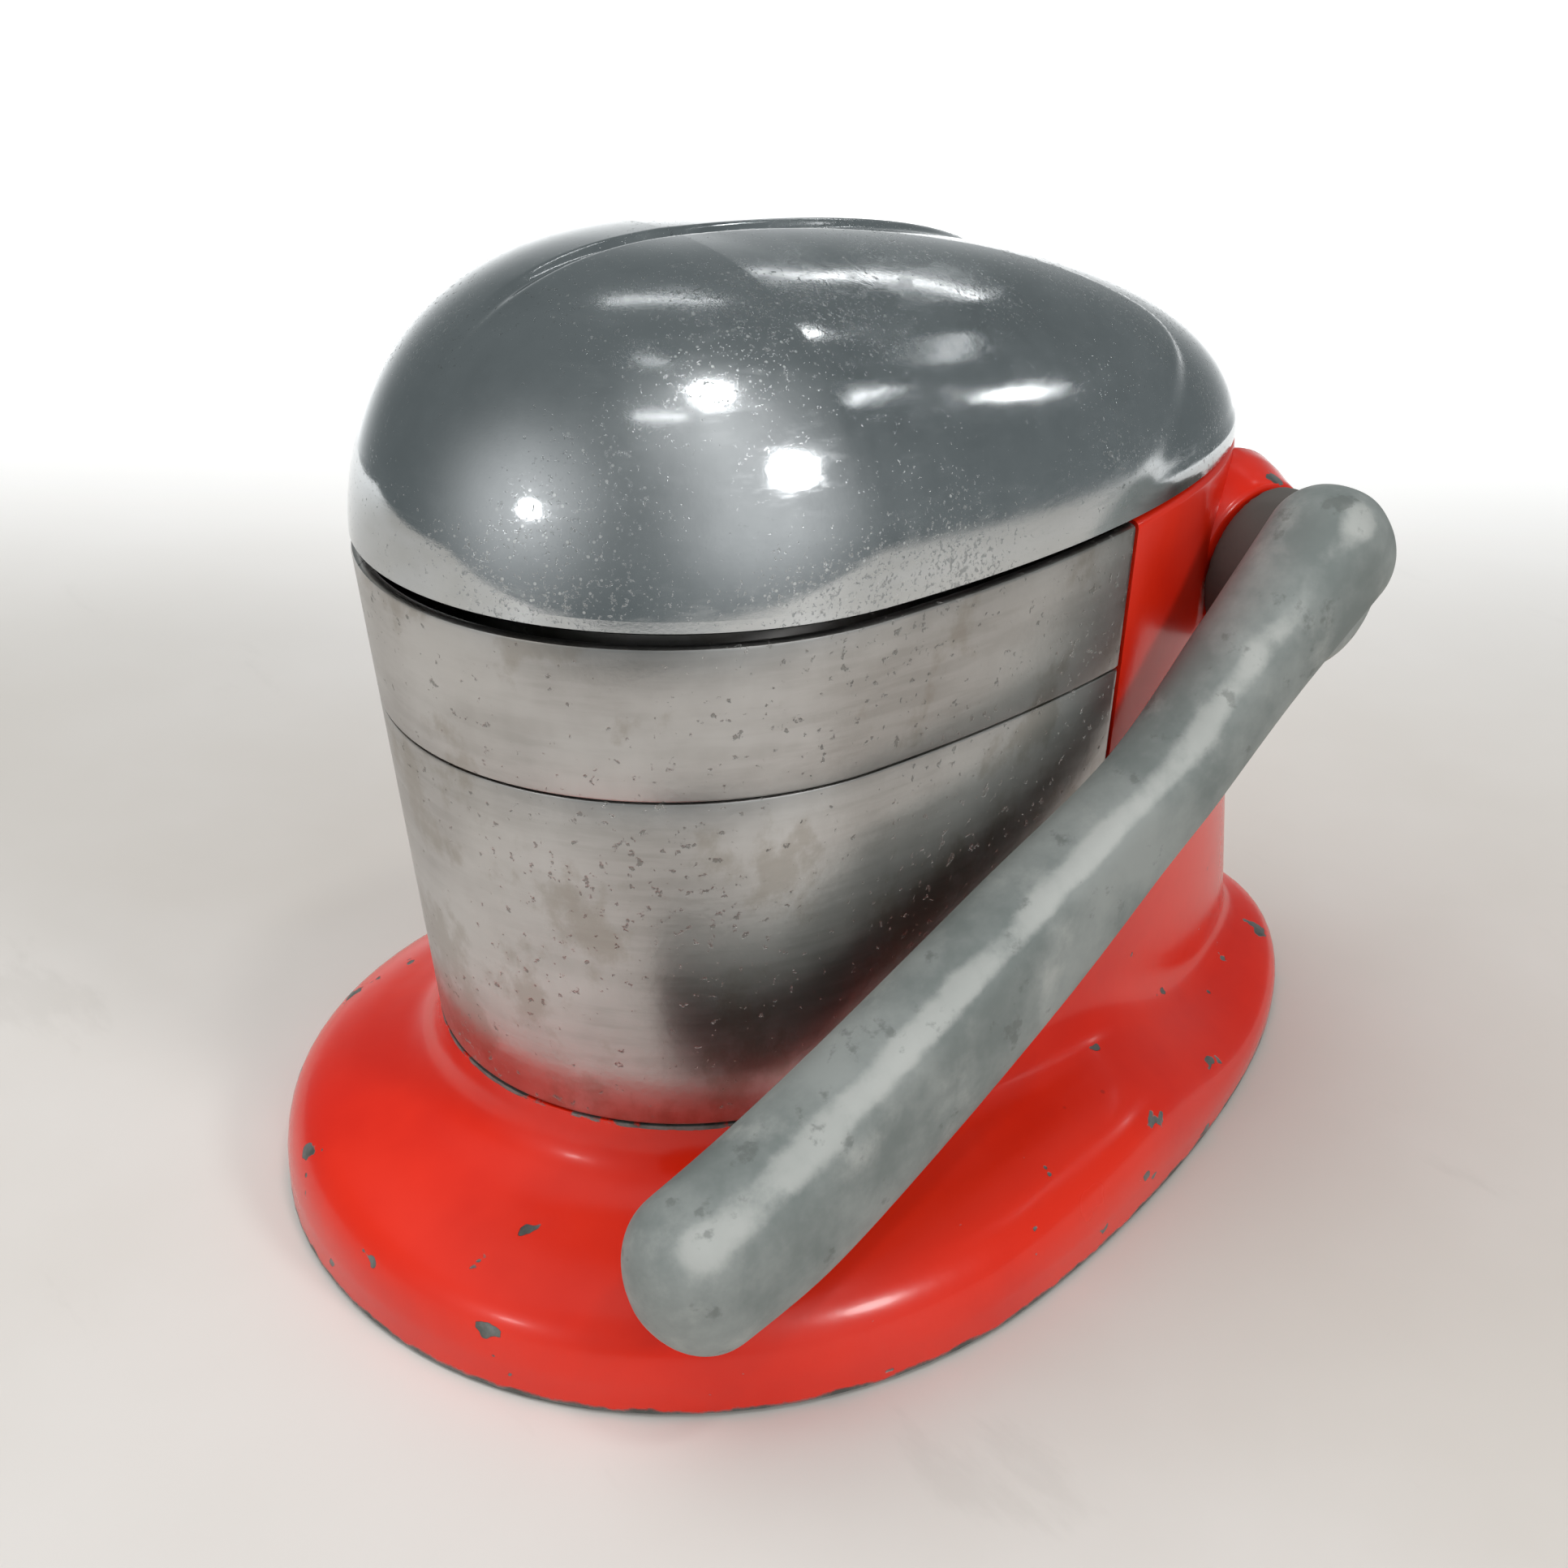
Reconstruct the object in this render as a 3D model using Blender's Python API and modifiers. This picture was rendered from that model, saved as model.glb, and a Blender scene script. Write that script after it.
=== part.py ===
"""Lever-press citrus juicer with a tilting top, in metres, +Z up.

The nose points to -Y and the handle is on the +X side. A hollow cast base carries a cup, a strainer
ring and a column. Raising the handle turns a pinion, the pinion lifts a rack post out of the column,
and a roller in a fixed cam slot tips the lid back as the post rises. The origin is on the table,
under the middle of the base.
"""
import math

import bmesh
import bpy
from mathutils import Matrix, Vector

# ---- driving dimensions (metres) ----
# plan of the foot
FOOT_HALF_WIDTH = 0.0797
FOOT_FRONT = 0.0784            # cup centre to the front edge
FOOT_REAR = 0.1593             # cup centre to the rear edge
FOOT_WIDEST = 0.0090           # cup centre to where the foot is widest
FOOT_FULLNESS = 0.96           # power of the front outline, 1 for an ellipse
RIM_CLEARANCE = 0.0010         # table to the underside of the rim
# side of the foot from the rim to the neck: share of the way out, and share of the neck's height
FOOT_PROFILE = [(1, 0.08), (1, 0.19), (0.972, 0.32), (0.905, 0.42), (0.79, 0.50), (0.61, 0.565),
                (0.40, 0.615), (0.22, 0.665), (0.09, 0.75), (0.02, 0.86), (0, 1)]
REAR_NECK_HEIGHT = 0.0180      # where the column's back meets the foot
REAR_NECK_START = 0.0628        # cup centre to where the neck starts to fall
REAR_NECK_END = 0.1180
CAST_WALL = 0.0030

# stack of cup, strainer ring and lid
DECK_HEIGHT = 0.0377
SEAM_HEIGHT = 0.1052
RING_TOP = 0.1328
COLUMN_TOP = 0.1330
CUP_BOTTOM_HALF_WIDTH = 0.0466
CUP_BOTTOM_FRONT = 0.0480
CUP_BOTTOM_CORNER = 0.0445     # half width where the cup meets the column
RING_TOP_HALF_WIDTH = 0.0530
RING_TOP_FRONT = 0.0593
RING_TOP_CORNER = 0.0460
COLUMN_FRONT = 0.0628          # cup centre to the column's flat face
COLUMN_FRONT_WALL = 0.0040
COLUMN_REAR_TOP = 0.1265       # cup centre to the column's back
COLUMN_REAR_DECK = 0.1450
CUP_WALL = 0.0022
RING_WALL = 0.0024
SPIGOT_DEPTH = 0.0040
LEDGE_WIDTH = 0.0030
GAP = 0.0003                   # between pieces that touch

# lid
LID_RIM = 0.1340
LID_CROWN = 0.0472             # crown above the rim
LID_PEAK = -0.0050             # cup centre to the highest point
LID_WALL = 0.0024
LID_REST_TILT = math.radians(0.6)
BOSS_RADIUS = 0.0040

# shaft, pinion and rack
SHAFT_Y = 0.1098               # cup centre to the shaft
SHAFT_Z = 0.1110
SHAFT_RADIUS = 0.0060
SHAFT_LEFT_END = -0.0375
SHAFT_RIGHT_END = 0.0495
SHAFT_CLEARANCE = 0.0003
BOSS_FACE = 0.0355             # half distance between the boss faces
BOSS_FACE_RADIUS = 0.0160
BUSH_WALL = 0.0022
BUSH_LENGTH = 0.0120
PINION_TEETH = 16
PITCH_RADIUS = 0.0120
PINION_HALF_WIDTH = 0.0070
HANDLE_SWING = math.radians(125)

# lift post and lid hinge
POST_HALF_WIDTH = 0.0080
POST_FRONT = 0.0845
POST_BOTTOM = 0.0520
HINGE_Y = 0.1000
HINGE_Z = 0.1430
HINGE_RADIUS = 0.0025
LID_SWING = math.radians(40)
ROLLER_FROM_HINGE = (-0.0060, -0.0260)
ROLLER_RADIUS = 0.0022
ROLLER_CLEARANCE = 0.0004

# lid bracket and cam
CHEEK_INSIDE = 0.0084
CHEEK_THICKNESS = 0.0025
ARM_UNDERSIDE = 0.1500
ARM_THICKNESS = 0.0030
CAM_INSIDE = 0.0124
CAM_THICKNESS = 0.0025
CAM_BAND = 0.0062

# press cup and strainer
PRESS_RADIUS = 0.0400
PRESS_RIM = 0.1120
PRESS_WALL = 0.0020
CONE_RADIUS = 0.0290
CONE_HEIGHT = 0.0180
STRAINER_THICKNESS = 0.0012
RIB_COUNT = 8
SLOT_COUNT = 16

# fasteners and feet
SCREW_RADIUS = 0.0018
SCREW_HEAD_RADIUS = 0.0035
SCREW_HEAD_HEIGHT = 0.0020
FOOT_PAD_RADIUS = 0.0070
FOOT_PAD_HEIGHT = 0.0033
FOOT_STEM_RADIUS = 0.0025
FOOT_STEM_TOP = 0.0090
FOOT_SOCKET_RADIUS = 0.0060

# ---- places that follow from them ----
CUP_Y = (FOOT_FRONT - FOOT_REAR) / 2
LIFT = PITCH_RADIUS * HANDLE_SWING
TILT_PER_LIFT = LID_SWING / LIFT
PITCH = 2 * math.pi * PITCH_RADIUS / PINION_TEETH
RACK_LINE = SHAFT_Y - PITCH_RADIUS
ARM_TOP = ARM_UNDERSIDE + ARM_THICKNESS


def from_cup(y):
    """World y of a distance behind the cup's centre."""
    return CUP_Y + y


# ---- scene, materials and small helpers ----
for old in list(bpy.data.objects):
    bpy.data.objects.remove(old)

parts = bpy.data.collections.new("citrus_press")
cutters = bpy.data.collections.new("cutters")
bpy.context.scene.collection.children.link(parts)
bpy.context.scene.collection.children.link(cutters)


def material(name, colour, roughness, metallic):
    made = bpy.data.materials.new(name)
    made.use_nodes = True
    surface = made.node_tree.nodes["Principled BSDF"]
    surface.inputs["Base Color"].default_value = (*colour, 1)
    surface.inputs["Roughness"].default_value = roughness
    surface.inputs["Metallic"].default_value = metallic
    return made


ENAMEL = material("red_enamel", (0.68, 0.018, 0.006), 0.25, 0.0)
CHROME = material("chrome", (0.62, 0.64, 0.66), 0.12, 1.0)
ALUMINIUM = material("aluminium", (0.52, 0.50, 0.48), 0.42, 1.0)
ZINC = material("cast_zinc", (0.24, 0.26, 0.25), 0.48, 0.9)
STEEL = material("steel", (0.45, 0.45, 0.46), 0.35, 1.0)
BRONZE = material("bronze", (0.42, 0.27, 0.12), 0.4, 1.0)
RUBBER = material("rubber", (0.02, 0.02, 0.02), 0.8, 0.0)


def joint_empty(name, location, tilt=0.0):
    empty = bpy.data.objects.new(name, None)
    empty.location = location
    empty.rotation_euler.x = tilt
    parts.objects.link(empty)
    return empty


def add(name, mesh, finish=None, joint=None):
    """Makes an object of a mesh given in world coordinates, hung on its joint's empty."""
    obj = bpy.data.objects.new(name, mesh)
    if finish:
        mesh.materials.append(finish)
        parts.objects.link(obj)
    else:
        cutters.objects.link(obj)
        obj.hide_render = True
        obj.display_type = "WIRE"
    if joint:
        mesh.transform(Matrix.Translation(-joint.location))
        obj.parent = joint
    return obj


def loft(name, rings, finish=None, joint=None, closed=False):
    """A solid through rings of as many points each, capped at its ends or closed into a loop."""
    bm = bmesh.new()
    rows = [[bm.verts.new(point) for point in ring] for ring in rings]
    pairs = list(zip(rows, rows[1:]))
    if closed:
        pairs.append((rows[-1], rows[0]))
    else:
        bm.faces.new(rows[0])
        bm.faces.new(rows[-1])
    count = len(rows[0])
    for low, high in pairs:
        for i in range(count):
            j = (i + 1) % count
            bm.faces.new((low[i], low[j], high[j], high[i]))
    bmesh.ops.recalc_face_normals(bm, faces=bm.faces)
    mesh = bpy.data.meshes.new(name)
    bm.to_mesh(mesh)
    bm.free()
    mesh.shade_smooth()
    mesh.set_sharp_from_angle(angle=math.radians(35))
    return add(name, mesh, finish, joint)


def prism(name, outline, x0, x1, finish=None, joint=None):
    """A flat outline of (y, z) points, drawn out along X."""
    rings = [[(x, y, z) for y, z in outline] for x in (x0, x1)]
    return loft(name, rings, finish, joint)


def block(name, low, high, finish=None, joint=None):
    bm = bmesh.new()
    bmesh.ops.create_cube(bm, size=1.0)
    size = Vector(high) - Vector(low)
    bmesh.ops.scale(bm, vec=size, verts=bm.verts)
    bmesh.ops.translate(bm, vec=(Vector(high) + Vector(low)) / 2, verts=bm.verts)
    mesh = bpy.data.meshes.new(name)
    bm.to_mesh(mesh)
    bm.free()
    return add(name, mesh, finish, joint)


TURNS = {"x": (0, math.pi / 2, 0), "-x": (0, -math.pi / 2, 0), "y": (-math.pi / 2, 0, 0),
         "-y": (math.pi / 2, 0, 0), "z": (0, 0, 0), "-z": (math.pi, 0, 0)}


def turned(name, profile, at, along, finish=None, joint=None, steps=28, closed=False):
    """A turned piece: (radius, height) points from its top down the outside, along a named axis."""
    mesh = bpy.data.meshes.new(name)
    points = [(radius, 0, height) for radius, height in profile]
    edges = [(i, i + 1) for i in range(len(points) - 1)]
    if closed:
        edges.append((len(points) - 1, 0))
    mesh.from_pydata(points, edges, [])
    obj = add(name, mesh, finish)
    obj.location = Vector(at) - (joint.location if joint else Vector())
    obj.parent = joint
    obj.rotation_euler = TURNS[along]
    screw = obj.modifiers.new("turn", "SCREW")
    screw.steps = steps
    screw.render_steps = steps
    screw.use_merge_vertices = True
    screw.merge_threshold = 0.00001
    screw.use_smooth_shade = True
    return obj


def rod(name, radius, at, along, length, finish=None, joint=None, steps=28, bevel=0.0):
    profile = [(0, length), (radius - bevel, length), (radius, length - bevel),
               (radius, bevel), (radius - bevel, 0), (0, 0)]
    if not bevel:
        profile = [(0, length), (radius, length), (radius, 0), (0, 0)]
    return turned(name, profile, at, along, finish, joint, steps)


def tube(name, outer, inner, at, along, length, finish=None, joint=None, steps=28):
    profile = [(inner, length), (outer, length), (outer, 0), (inner, 0)]
    return turned(name, profile, at, along, finish, joint, steps, closed=True)


def boolean(target, other, operation):
    step = target.modifiers.new(other.name, "BOOLEAN")
    step.operation = operation
    step.solver = "EXACT"
    step.object = other
    return target


def cut(target, *others):
    for other in others:
        boolean(target, other, "DIFFERENCE")
    return target


def join(target, *others):
    for other in others:
        boolean(target, other, "UNION")
    return target


def quarter(count):
    return [math.pi / 2 * i / count for i in range(count + 1)]


def mirrored(half):
    """A whole outline from its +X half, which runs from the front on the centre line to the back."""
    return half + [(-x, y) for x, y in reversed(half) if abs(x) > 1e-6]


def at_height(outline, z):
    return [(x, y, z) for x, y in outline]


def blend(a, b, share):
    return a + (b - a) * share


def curve_point(p0, p1, p2, p3, t):
    """A point of a cubic Bezier curve."""
    s = 1 - t
    weights = (s**3, 3 * s * s * t, 3 * s * t * t, t**3)
    return tuple(sum(w * p[i] for w, p in zip(weights, (p0, p1, p2, p3))) for i in range(len(p0)))


# ---- plan outlines ----
FRONT_STEPS = 9
SIDE_STEPS = 4
REAR_STEPS = 9
VOID_SHOULDER = 0.0020
VOID_BOTTOM = -0.0020


def stack_sizes(z):
    """Half width, front reach and flush corner half width of the cup and ring at a height."""
    share = (z - DECK_HEIGHT) / (RING_TOP - DECK_HEIGHT)
    return (blend(CUP_BOTTOM_HALF_WIDTH, RING_TOP_HALF_WIDTH, share),
            blend(CUP_BOTTOM_FRONT, RING_TOP_FRONT, share),
            blend(CUP_BOTTOM_CORNER, RING_TOP_CORNER, share))


def side_width(z, y):
    """Half width of the cup and ring at a distance behind the cup's centre."""
    width, _, corner = stack_sizes(z)
    reach = COLUMN_FRONT / math.sqrt(1 - (corner / width) ** 2)
    return width * math.sqrt(1 - (y / reach) ** 2)


def column_rear(z):
    share = (z - DECK_HEIGHT) / (COLUMN_TOP - DECK_HEIGHT)
    return blend(COLUMN_REAR_DECK, COLUMN_REAR_TOP, share)


def column_width(z, y):
    """Half width of the column at a distance behind the cup's centre."""
    corner = stack_sizes(z)[2]
    rear = column_rear(z)
    full = corner / math.sqrt(1 - (COLUMN_FRONT / rear) ** 2)
    return full * math.sqrt(max(1 - (y / rear) ** 2, 0))


def front_quarter(width, front):
    return [(width * math.sin(a), from_cup(-front * math.cos(a))) for a in quarter(FRONT_STEPS)]


def stack_outline(z, inset):
    """Outline of the cup and ring: rounded nose, and a flat side against the column."""
    width, front, _ = stack_sizes(z)
    flat = COLUMN_FRONT - GAP - inset
    half = front_quarter(width - inset, front - inset)
    for i in range(1, SIDE_STEPS + 1):
        y = flat * i / SIDE_STEPS
        half.append((side_width(z, y) - inset, from_cup(y)))
    return at_height(mirrored(half), z)


def neck_outline(z, inset):
    """Outline of the casting above the foot: the cup's nose, and the column's rounded back."""
    width, front, _ = stack_sizes(z)
    half = front_quarter(width - inset, front - inset)
    for i in range(1, SIDE_STEPS + 1):
        y = COLUMN_FRONT * i / SIDE_STEPS
        half.append((side_width(z, y) - inset, from_cup(y)))
    rear = column_rear(z)
    start = math.asin(COLUMN_FRONT / rear)
    for i in range(1, REAR_STEPS + 1):
        angle = blend(start, math.pi / 2, i / REAR_STEPS)
        y = rear * math.sin(angle)
        shrink = inset * math.sin(angle)
        half.append((max(column_width(z, y) - inset * math.cos(angle) * 1.2, 0), from_cup(y - shrink)))
    half[-1] = (0, half[-1][1])
    return mirrored(half)


def foot_outline(inset):
    """Egg-shaped outline of the foot's rim, point for point with the neck's."""
    front = FOOT_FRONT + FOOT_WIDEST
    rear = FOOT_REAR - FOOT_WIDEST
    width = FOOT_HALF_WIDTH - inset
    half = []
    for angle in quarter(FRONT_STEPS):
        x = width * math.sin(angle) ** FOOT_FULLNESS
        y = (front - inset) * abs(math.cos(angle)) ** FOOT_FULLNESS
        half.append((x, from_cup(FOOT_WIDEST - y)))
    steps = SIDE_STEPS + REAR_STEPS
    for i in range(1, steps + 1):
        x, y = curve_point((width, 0), (width, 0.20 * rear), (0.66 * width, rear - inset),
                           (0, rear - inset), i / steps)
        half.append((x, from_cup(FOOT_WIDEST + y)))
    half[-1] = (0, half[-1][1])
    return mirrored(half)


def neck_ring(inset):
    """Where the foot's side ends: the deck's edge in front, falling along the column to its back."""
    ring = []
    for (x, y), (low_x, low_y) in zip(neck_outline(DECK_HEIGHT, inset),
                                      neck_outline(REAR_NECK_HEIGHT, inset)):
        share = (y - from_cup(REAR_NECK_START)) / (REAR_NECK_END - REAR_NECK_START)
        share = min(max(share, 0), 1)
        share = share * share * (3 - 2 * share)
        ring.append((blend(x, low_x, share), blend(y, low_y, share),
                     blend(DECK_HEIGHT, REAR_NECK_HEIGHT, share)))
    return ring


def foot_rings(inset, drop, bottom):
    """Rings of the domed foot from its rim up to the neck; inset and drop give the hollow."""
    rim = foot_outline(inset)
    neck = neck_ring(inset)
    rings = [at_height(rim, bottom)]
    for out, rise in FOOT_PROFILE:
        ring = []
        for (rim_x, rim_y), (neck_x, neck_y, top) in zip(rim, neck):
            ring.append((blend(neck_x, rim_x, out), blend(neck_y, rim_y, out), rise * top - drop))
        rings.append(ring)
    return rings


def foot_void(depth):
    """Rings of the foot's form at a depth under its surface, closed flat under the deck."""
    top = at_height(neck_outline(DECK_HEIGHT, depth + VOID_SHOULDER), DECK_HEIGHT - depth)
    return [*foot_rings(depth, depth, VOID_BOTTOM), top]


# ---- joints ----
shaft_axis = joint_empty("handle_axis", (0, from_cup(SHAFT_Y), SHAFT_Z))
post_slide = joint_empty("post_slide", (0, from_cup(POST_FRONT), POST_BOTTOM))
lid_axis = joint_empty("lid_axis", (0, from_cup(HINGE_Y), HINGE_Z), -LID_REST_TILT)

# ---- base casting ----
outer_rings = foot_rings(0, 0, RIM_CLEARANCE)
for height in (0.062, 0.086, 0.110, COLUMN_TOP - 0.0008):
    outer_rings.append(at_height(neck_outline(height, 0), height))
outer_rings.append(at_height(neck_outline(COLUMN_TOP, 0.0008), COLUMN_TOP))
base = loft("base_casting", outer_rings, ENAMEL)

cut(base, block("cut_cup_space", (-0.08, from_cup(-0.10), DECK_HEIGHT),
                (0.08, from_cup(COLUMN_FRONT), 0.16)))
foot_hollow = loft("cut_foot_hollow", foot_void(CAST_WALL))
cut(base, foot_hollow)


def column_hollow_outline(z):
    front = COLUMN_FRONT + COLUMN_FRONT_WALL
    rear = column_rear(z)
    half = [(0, from_cup(front))]
    start = math.asin(front / rear)
    for i in range(REAR_STEPS + 1):
        angle = blend(start, math.pi / 2, i / REAR_STEPS)
        y = rear * math.sin(angle)
        half.append((max(column_width(z, y) - CAST_WALL * (1 + 0.2 * math.cos(angle)), 0),
                     from_cup(y - CAST_WALL * (i / REAR_STEPS) ** 2)))
    half[-1] = (0, half[-1][1])
    return at_height(mirrored(half), z)


column_hollow = loft("cut_column_hollow", [column_hollow_outline(z) for z in
                                           (0.020, 0.060, 0.095, COLUMN_TOP - 0.0040)])
cut(base, column_hollow)

# bosses that carry the shaft's bushes, inside and outside the column's walls
boss_start = 0.0160
boss_height = BOSS_FACE - boss_start
boss_profile = [(0, boss_height), (BOSS_FACE_RADIUS, boss_height), (0.0172, boss_height - 0.0035),
                (0.0205, boss_height - 0.0095), (0.0205, boss_height - 0.0115), (0.0120, 0.0),
                (0, 0)]
for side, along in ((1, "x"), (-1, "-x")):
    boss = turned(f"join_boss_{along}", boss_profile, (side * boss_start, from_cup(SHAFT_Y), SHAFT_Z),
                  along, steps=40)
    join(base, boss)
bush_outer = SHAFT_RADIUS + SHAFT_CLEARANCE + BUSH_WALL
cut(base, rod("cut_shaft_bore", bush_outer + GAP, (-0.05, from_cup(SHAFT_Y), SHAFT_Z), "x", 0.10,
              steps=36))
cut(base, block("cut_top_opening", (-0.0165, from_cup(0.0705), COLUMN_TOP - 0.010),
                (0.0165, from_cup(0.1055), COLUMN_TOP + 0.010)))

FOOT_PLACES = [(0.050, from_cup(-0.024)), (-0.050, from_cup(-0.024)),
               (0.040, from_cup(0.086)), (-0.040, from_cup(0.086))]
# each foot's socket runs up into the middle of the casting's wall
socket_limit = loft("cut_socket_limit", foot_void(CAST_WALL / 2))
for number, (x, y) in enumerate(FOOT_PLACES):
    socket = tube(f"join_foot_socket_{number}", FOOT_SOCKET_RADIUS, FOOT_STEM_RADIUS + GAP,
                  (x, y, FOOT_PAD_HEIGHT + GAP), "z", DECK_HEIGHT, steps=16)
    join(base, boolean(socket, socket_limit, "INTERSECT"))

GUIDE_SCREWS = [(0.0110, 0.0850), (-0.0110, 0.0850)]
CAM_SCREWS = [(0.0080, 0.1130), (-0.0080, 0.1130)]
for number, (x, z) in enumerate(GUIDE_SCREWS + CAM_SCREWS):
    front = from_cup(COLUMN_FRONT)
    cut(base, rod(f"cut_screw_{number}", SCREW_RADIUS + GAP, (x, front - 0.002, z), "y", 0.010,
                  steps=16))
    cut(base, rod(f"cut_screw_head_{number}", SCREW_HEAD_RADIUS + GAP, (x, front - 0.002, z), "y",
                  0.002 + SCREW_HEAD_HEIGHT + 2 * GAP, steps=20))

# ---- rubber feet ----
for number, (x, y) in enumerate(FOOT_PLACES):
    profile = [(0, FOOT_STEM_TOP), (FOOT_STEM_RADIUS - 0.0006, FOOT_STEM_TOP),
               (FOOT_STEM_RADIUS, FOOT_STEM_TOP - 0.0008), (FOOT_STEM_RADIUS, FOOT_PAD_HEIGHT),
               (FOOT_PAD_RADIUS, FOOT_PAD_HEIGHT), (FOOT_PAD_RADIUS, 0.0008),
               (FOOT_PAD_RADIUS - 0.0008, 0.0), (0, 0.0)]
    turned(f"rubber_foot_{number + 1}", profile, (x, y, 0), "z", RUBBER, steps=16)

# ---- juice cup ----
cup_floor = DECK_HEIGHT + GAP
cup_rim = SEAM_HEIGHT - GAP / 2
cup_rings = [stack_outline(cup_floor + CUP_WALL, 0.0085),
             stack_outline(cup_floor + CUP_WALL + 0.002, 0.0045),
             stack_outline(cup_floor + CUP_WALL + 0.008, CUP_WALL), stack_outline(cup_rim, CUP_WALL),
             stack_outline(cup_rim, 0), stack_outline(cup_floor, 0)]
loft("juice_cup", cup_rings, ALUMINIUM)

# ---- strainer ring, with a spigot inside the cup and a ledge for the strainer ----
ring_bottom = SEAM_HEIGHT + GAP / 2
spigot_inset = CUP_WALL + GAP
ledge_height = ring_bottom + 0.0012
ledge_inset = spigot_inset + LEDGE_WIDTH
ring_rings = [stack_outline(ring_bottom - SPIGOT_DEPTH, ledge_inset),
              stack_outline(ledge_height, ledge_inset),
              stack_outline(ledge_height, RING_WALL), stack_outline(RING_TOP - 0.0006, RING_WALL),
              stack_outline(RING_TOP, RING_WALL - 0.0006), stack_outline(RING_TOP, 0.0006),
              stack_outline(RING_TOP - 0.0006, 0), stack_outline(ring_bottom, 0),
              stack_outline(ring_bottom, spigot_inset),
              stack_outline(ring_bottom - SPIGOT_DEPTH, spigot_inset)]
loft("strainer_ring", ring_rings, ALUMINIUM, closed=True)

# ---- strainer: a slotted plate with a ribbed cone ----
plate_low = ledge_height + GAP
plate_high = plate_low + STRAINER_THICKNESS
plate_inset = RING_WALL + GAP
strainer = loft("strainer_cone",
                [stack_outline(plate_low, plate_inset), stack_outline(plate_high, plate_inset)],
                ALUMINIUM)


def ribbed_rings(radius, height, low, ribs, depth, levels, power, steps=48):
    """Rings of a round-topped form whose ribs fade towards its top."""
    rings = []
    for level in range(levels + 1):
        share = level / levels
        shrink = math.cos(share * math.pi / 2 * 0.96)
        ring = []
        for i in range(steps):
            angle = 2 * math.pi * i / steps
            wave = 1 + depth * (1 - share) * (abs(math.cos(ribs * angle / 2)) - 0.6)
            reach = radius * shrink**power * wave
            ring.append((reach * math.sin(angle), from_cup(-reach * math.cos(angle)),
                         low + height * math.sin(share * math.pi / 2 * 0.96)))
        rings.append(ring)
    return rings


join(strainer,
     loft("join_cone", ribbed_rings(CONE_RADIUS, CONE_HEIGHT, plate_low + 0.0002, RIB_COUNT, 0.14, 5, 0.8)))
cut(strainer,
    loft("cut_cone_hollow", ribbed_rings(CONE_RADIUS - 0.0016, CONE_HEIGHT - 0.0014, plate_low - 0.0006,
                                                   RIB_COUNT, 0.14, 5, 0.8)))
for number in range(SLOT_COUNT):
    slot = block(f"cut_slot_{number}", (-0.0011, 0.0325, -0.003), (0.0011, 0.0415, 0.003))
    slot.location = (0, CUP_Y, (plate_low + plate_high) / 2)
    slot.rotation_euler.z = 2 * math.pi * (number + 0.5) / SLOT_COUNT
    cut(strainer, slot)

# ---- shaft, pinion and what turns with them ----
shaft = rod("handle_shaft", SHAFT_RADIUS, (SHAFT_LEFT_END, shaft_axis.location.y, SHAFT_Z), "x",
            SHAFT_RIGHT_END - SHAFT_LEFT_END, STEEL, shaft_axis, bevel=0.0006)
PIN_X = -0.0105
PIN_RADIUS = 0.0014
PINION_HUB_RADIUS = 0.0088
pin_hole = rod("cut_pin_hole", PIN_RADIUS + GAP, (PIN_X, shaft_axis.location.y, SHAFT_Z - 0.012), "z",
               0.024, joint=shaft_axis, steps=16)
cut(shaft, pin_hole)
END_SCREW_DEPTH = 0.0090
cut(shaft,
    rod("cut_end_thread", SCREW_RADIUS + GAP, (SHAFT_LEFT_END - 0.002, shaft_axis.location.y, SHAFT_Z),
               "x", 0.002 + END_SCREW_DEPTH + GAP, joint=shaft_axis, steps=16))

TOOTH_TIP = 0.0012
TOOTH_ROOT = 0.0016


def pinion_outline():
    """Slim straight-sided teeth, so that they clear the rack's as it runs."""
    points = []
    sizes = [(PITCH_RADIUS - TOOTH_ROOT, -0.30), (PITCH_RADIUS, -0.19), (PITCH_RADIUS + TOOTH_TIP, -0.085),
             (PITCH_RADIUS + TOOTH_TIP, 0.085), (PITCH_RADIUS, 0.19), (PITCH_RADIUS - TOOTH_ROOT, 0.30)]
    for tooth in range(PINION_TEETH):
        for radius, share in sizes:
            angle = 2 * math.pi * (tooth + share) / PINION_TEETH
            points.append((shaft_axis.location.y - radius * math.cos(angle),
                           SHAFT_Z + radius * math.sin(angle)))
    return points


pinion = prism("drive_pinion", pinion_outline(), -PINION_HALF_WIDTH, PINION_HALF_WIDTH, STEEL, shaft_axis)
join(pinion,
     rod("join_pinion_hub", PINION_HUB_RADIUS, (-0.0140, shaft_axis.location.y, SHAFT_Z), "x", 0.0100,
                 joint=shaft_axis))
cut(pinion, rod("cut_pinion_bore", SHAFT_RADIUS + GAP, (-0.02, shaft_axis.location.y, SHAFT_Z), "x", 0.04,
                joint=shaft_axis))
cut(pinion, pin_hole)
rod("pinion_pin", PIN_RADIUS, (PIN_X, shaft_axis.location.y, SHAFT_Z - 0.0086), "z", 0.0172, STEEL,
    shaft_axis,
    steps=16, bevel=0.0003)

for side, along in ((1, "x"), (-1, "-x")):
    name = "right_shaft_bush" if side > 0 else "left_shaft_bush"
    tube(name, bush_outer, SHAFT_RADIUS + SHAFT_CLEARANCE,
         (side * (BOSS_FACE - GAP - BUSH_LENGTH), shaft_axis.location.y, SHAFT_Z),
         along, BUSH_LENGTH, BRONZE)

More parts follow.
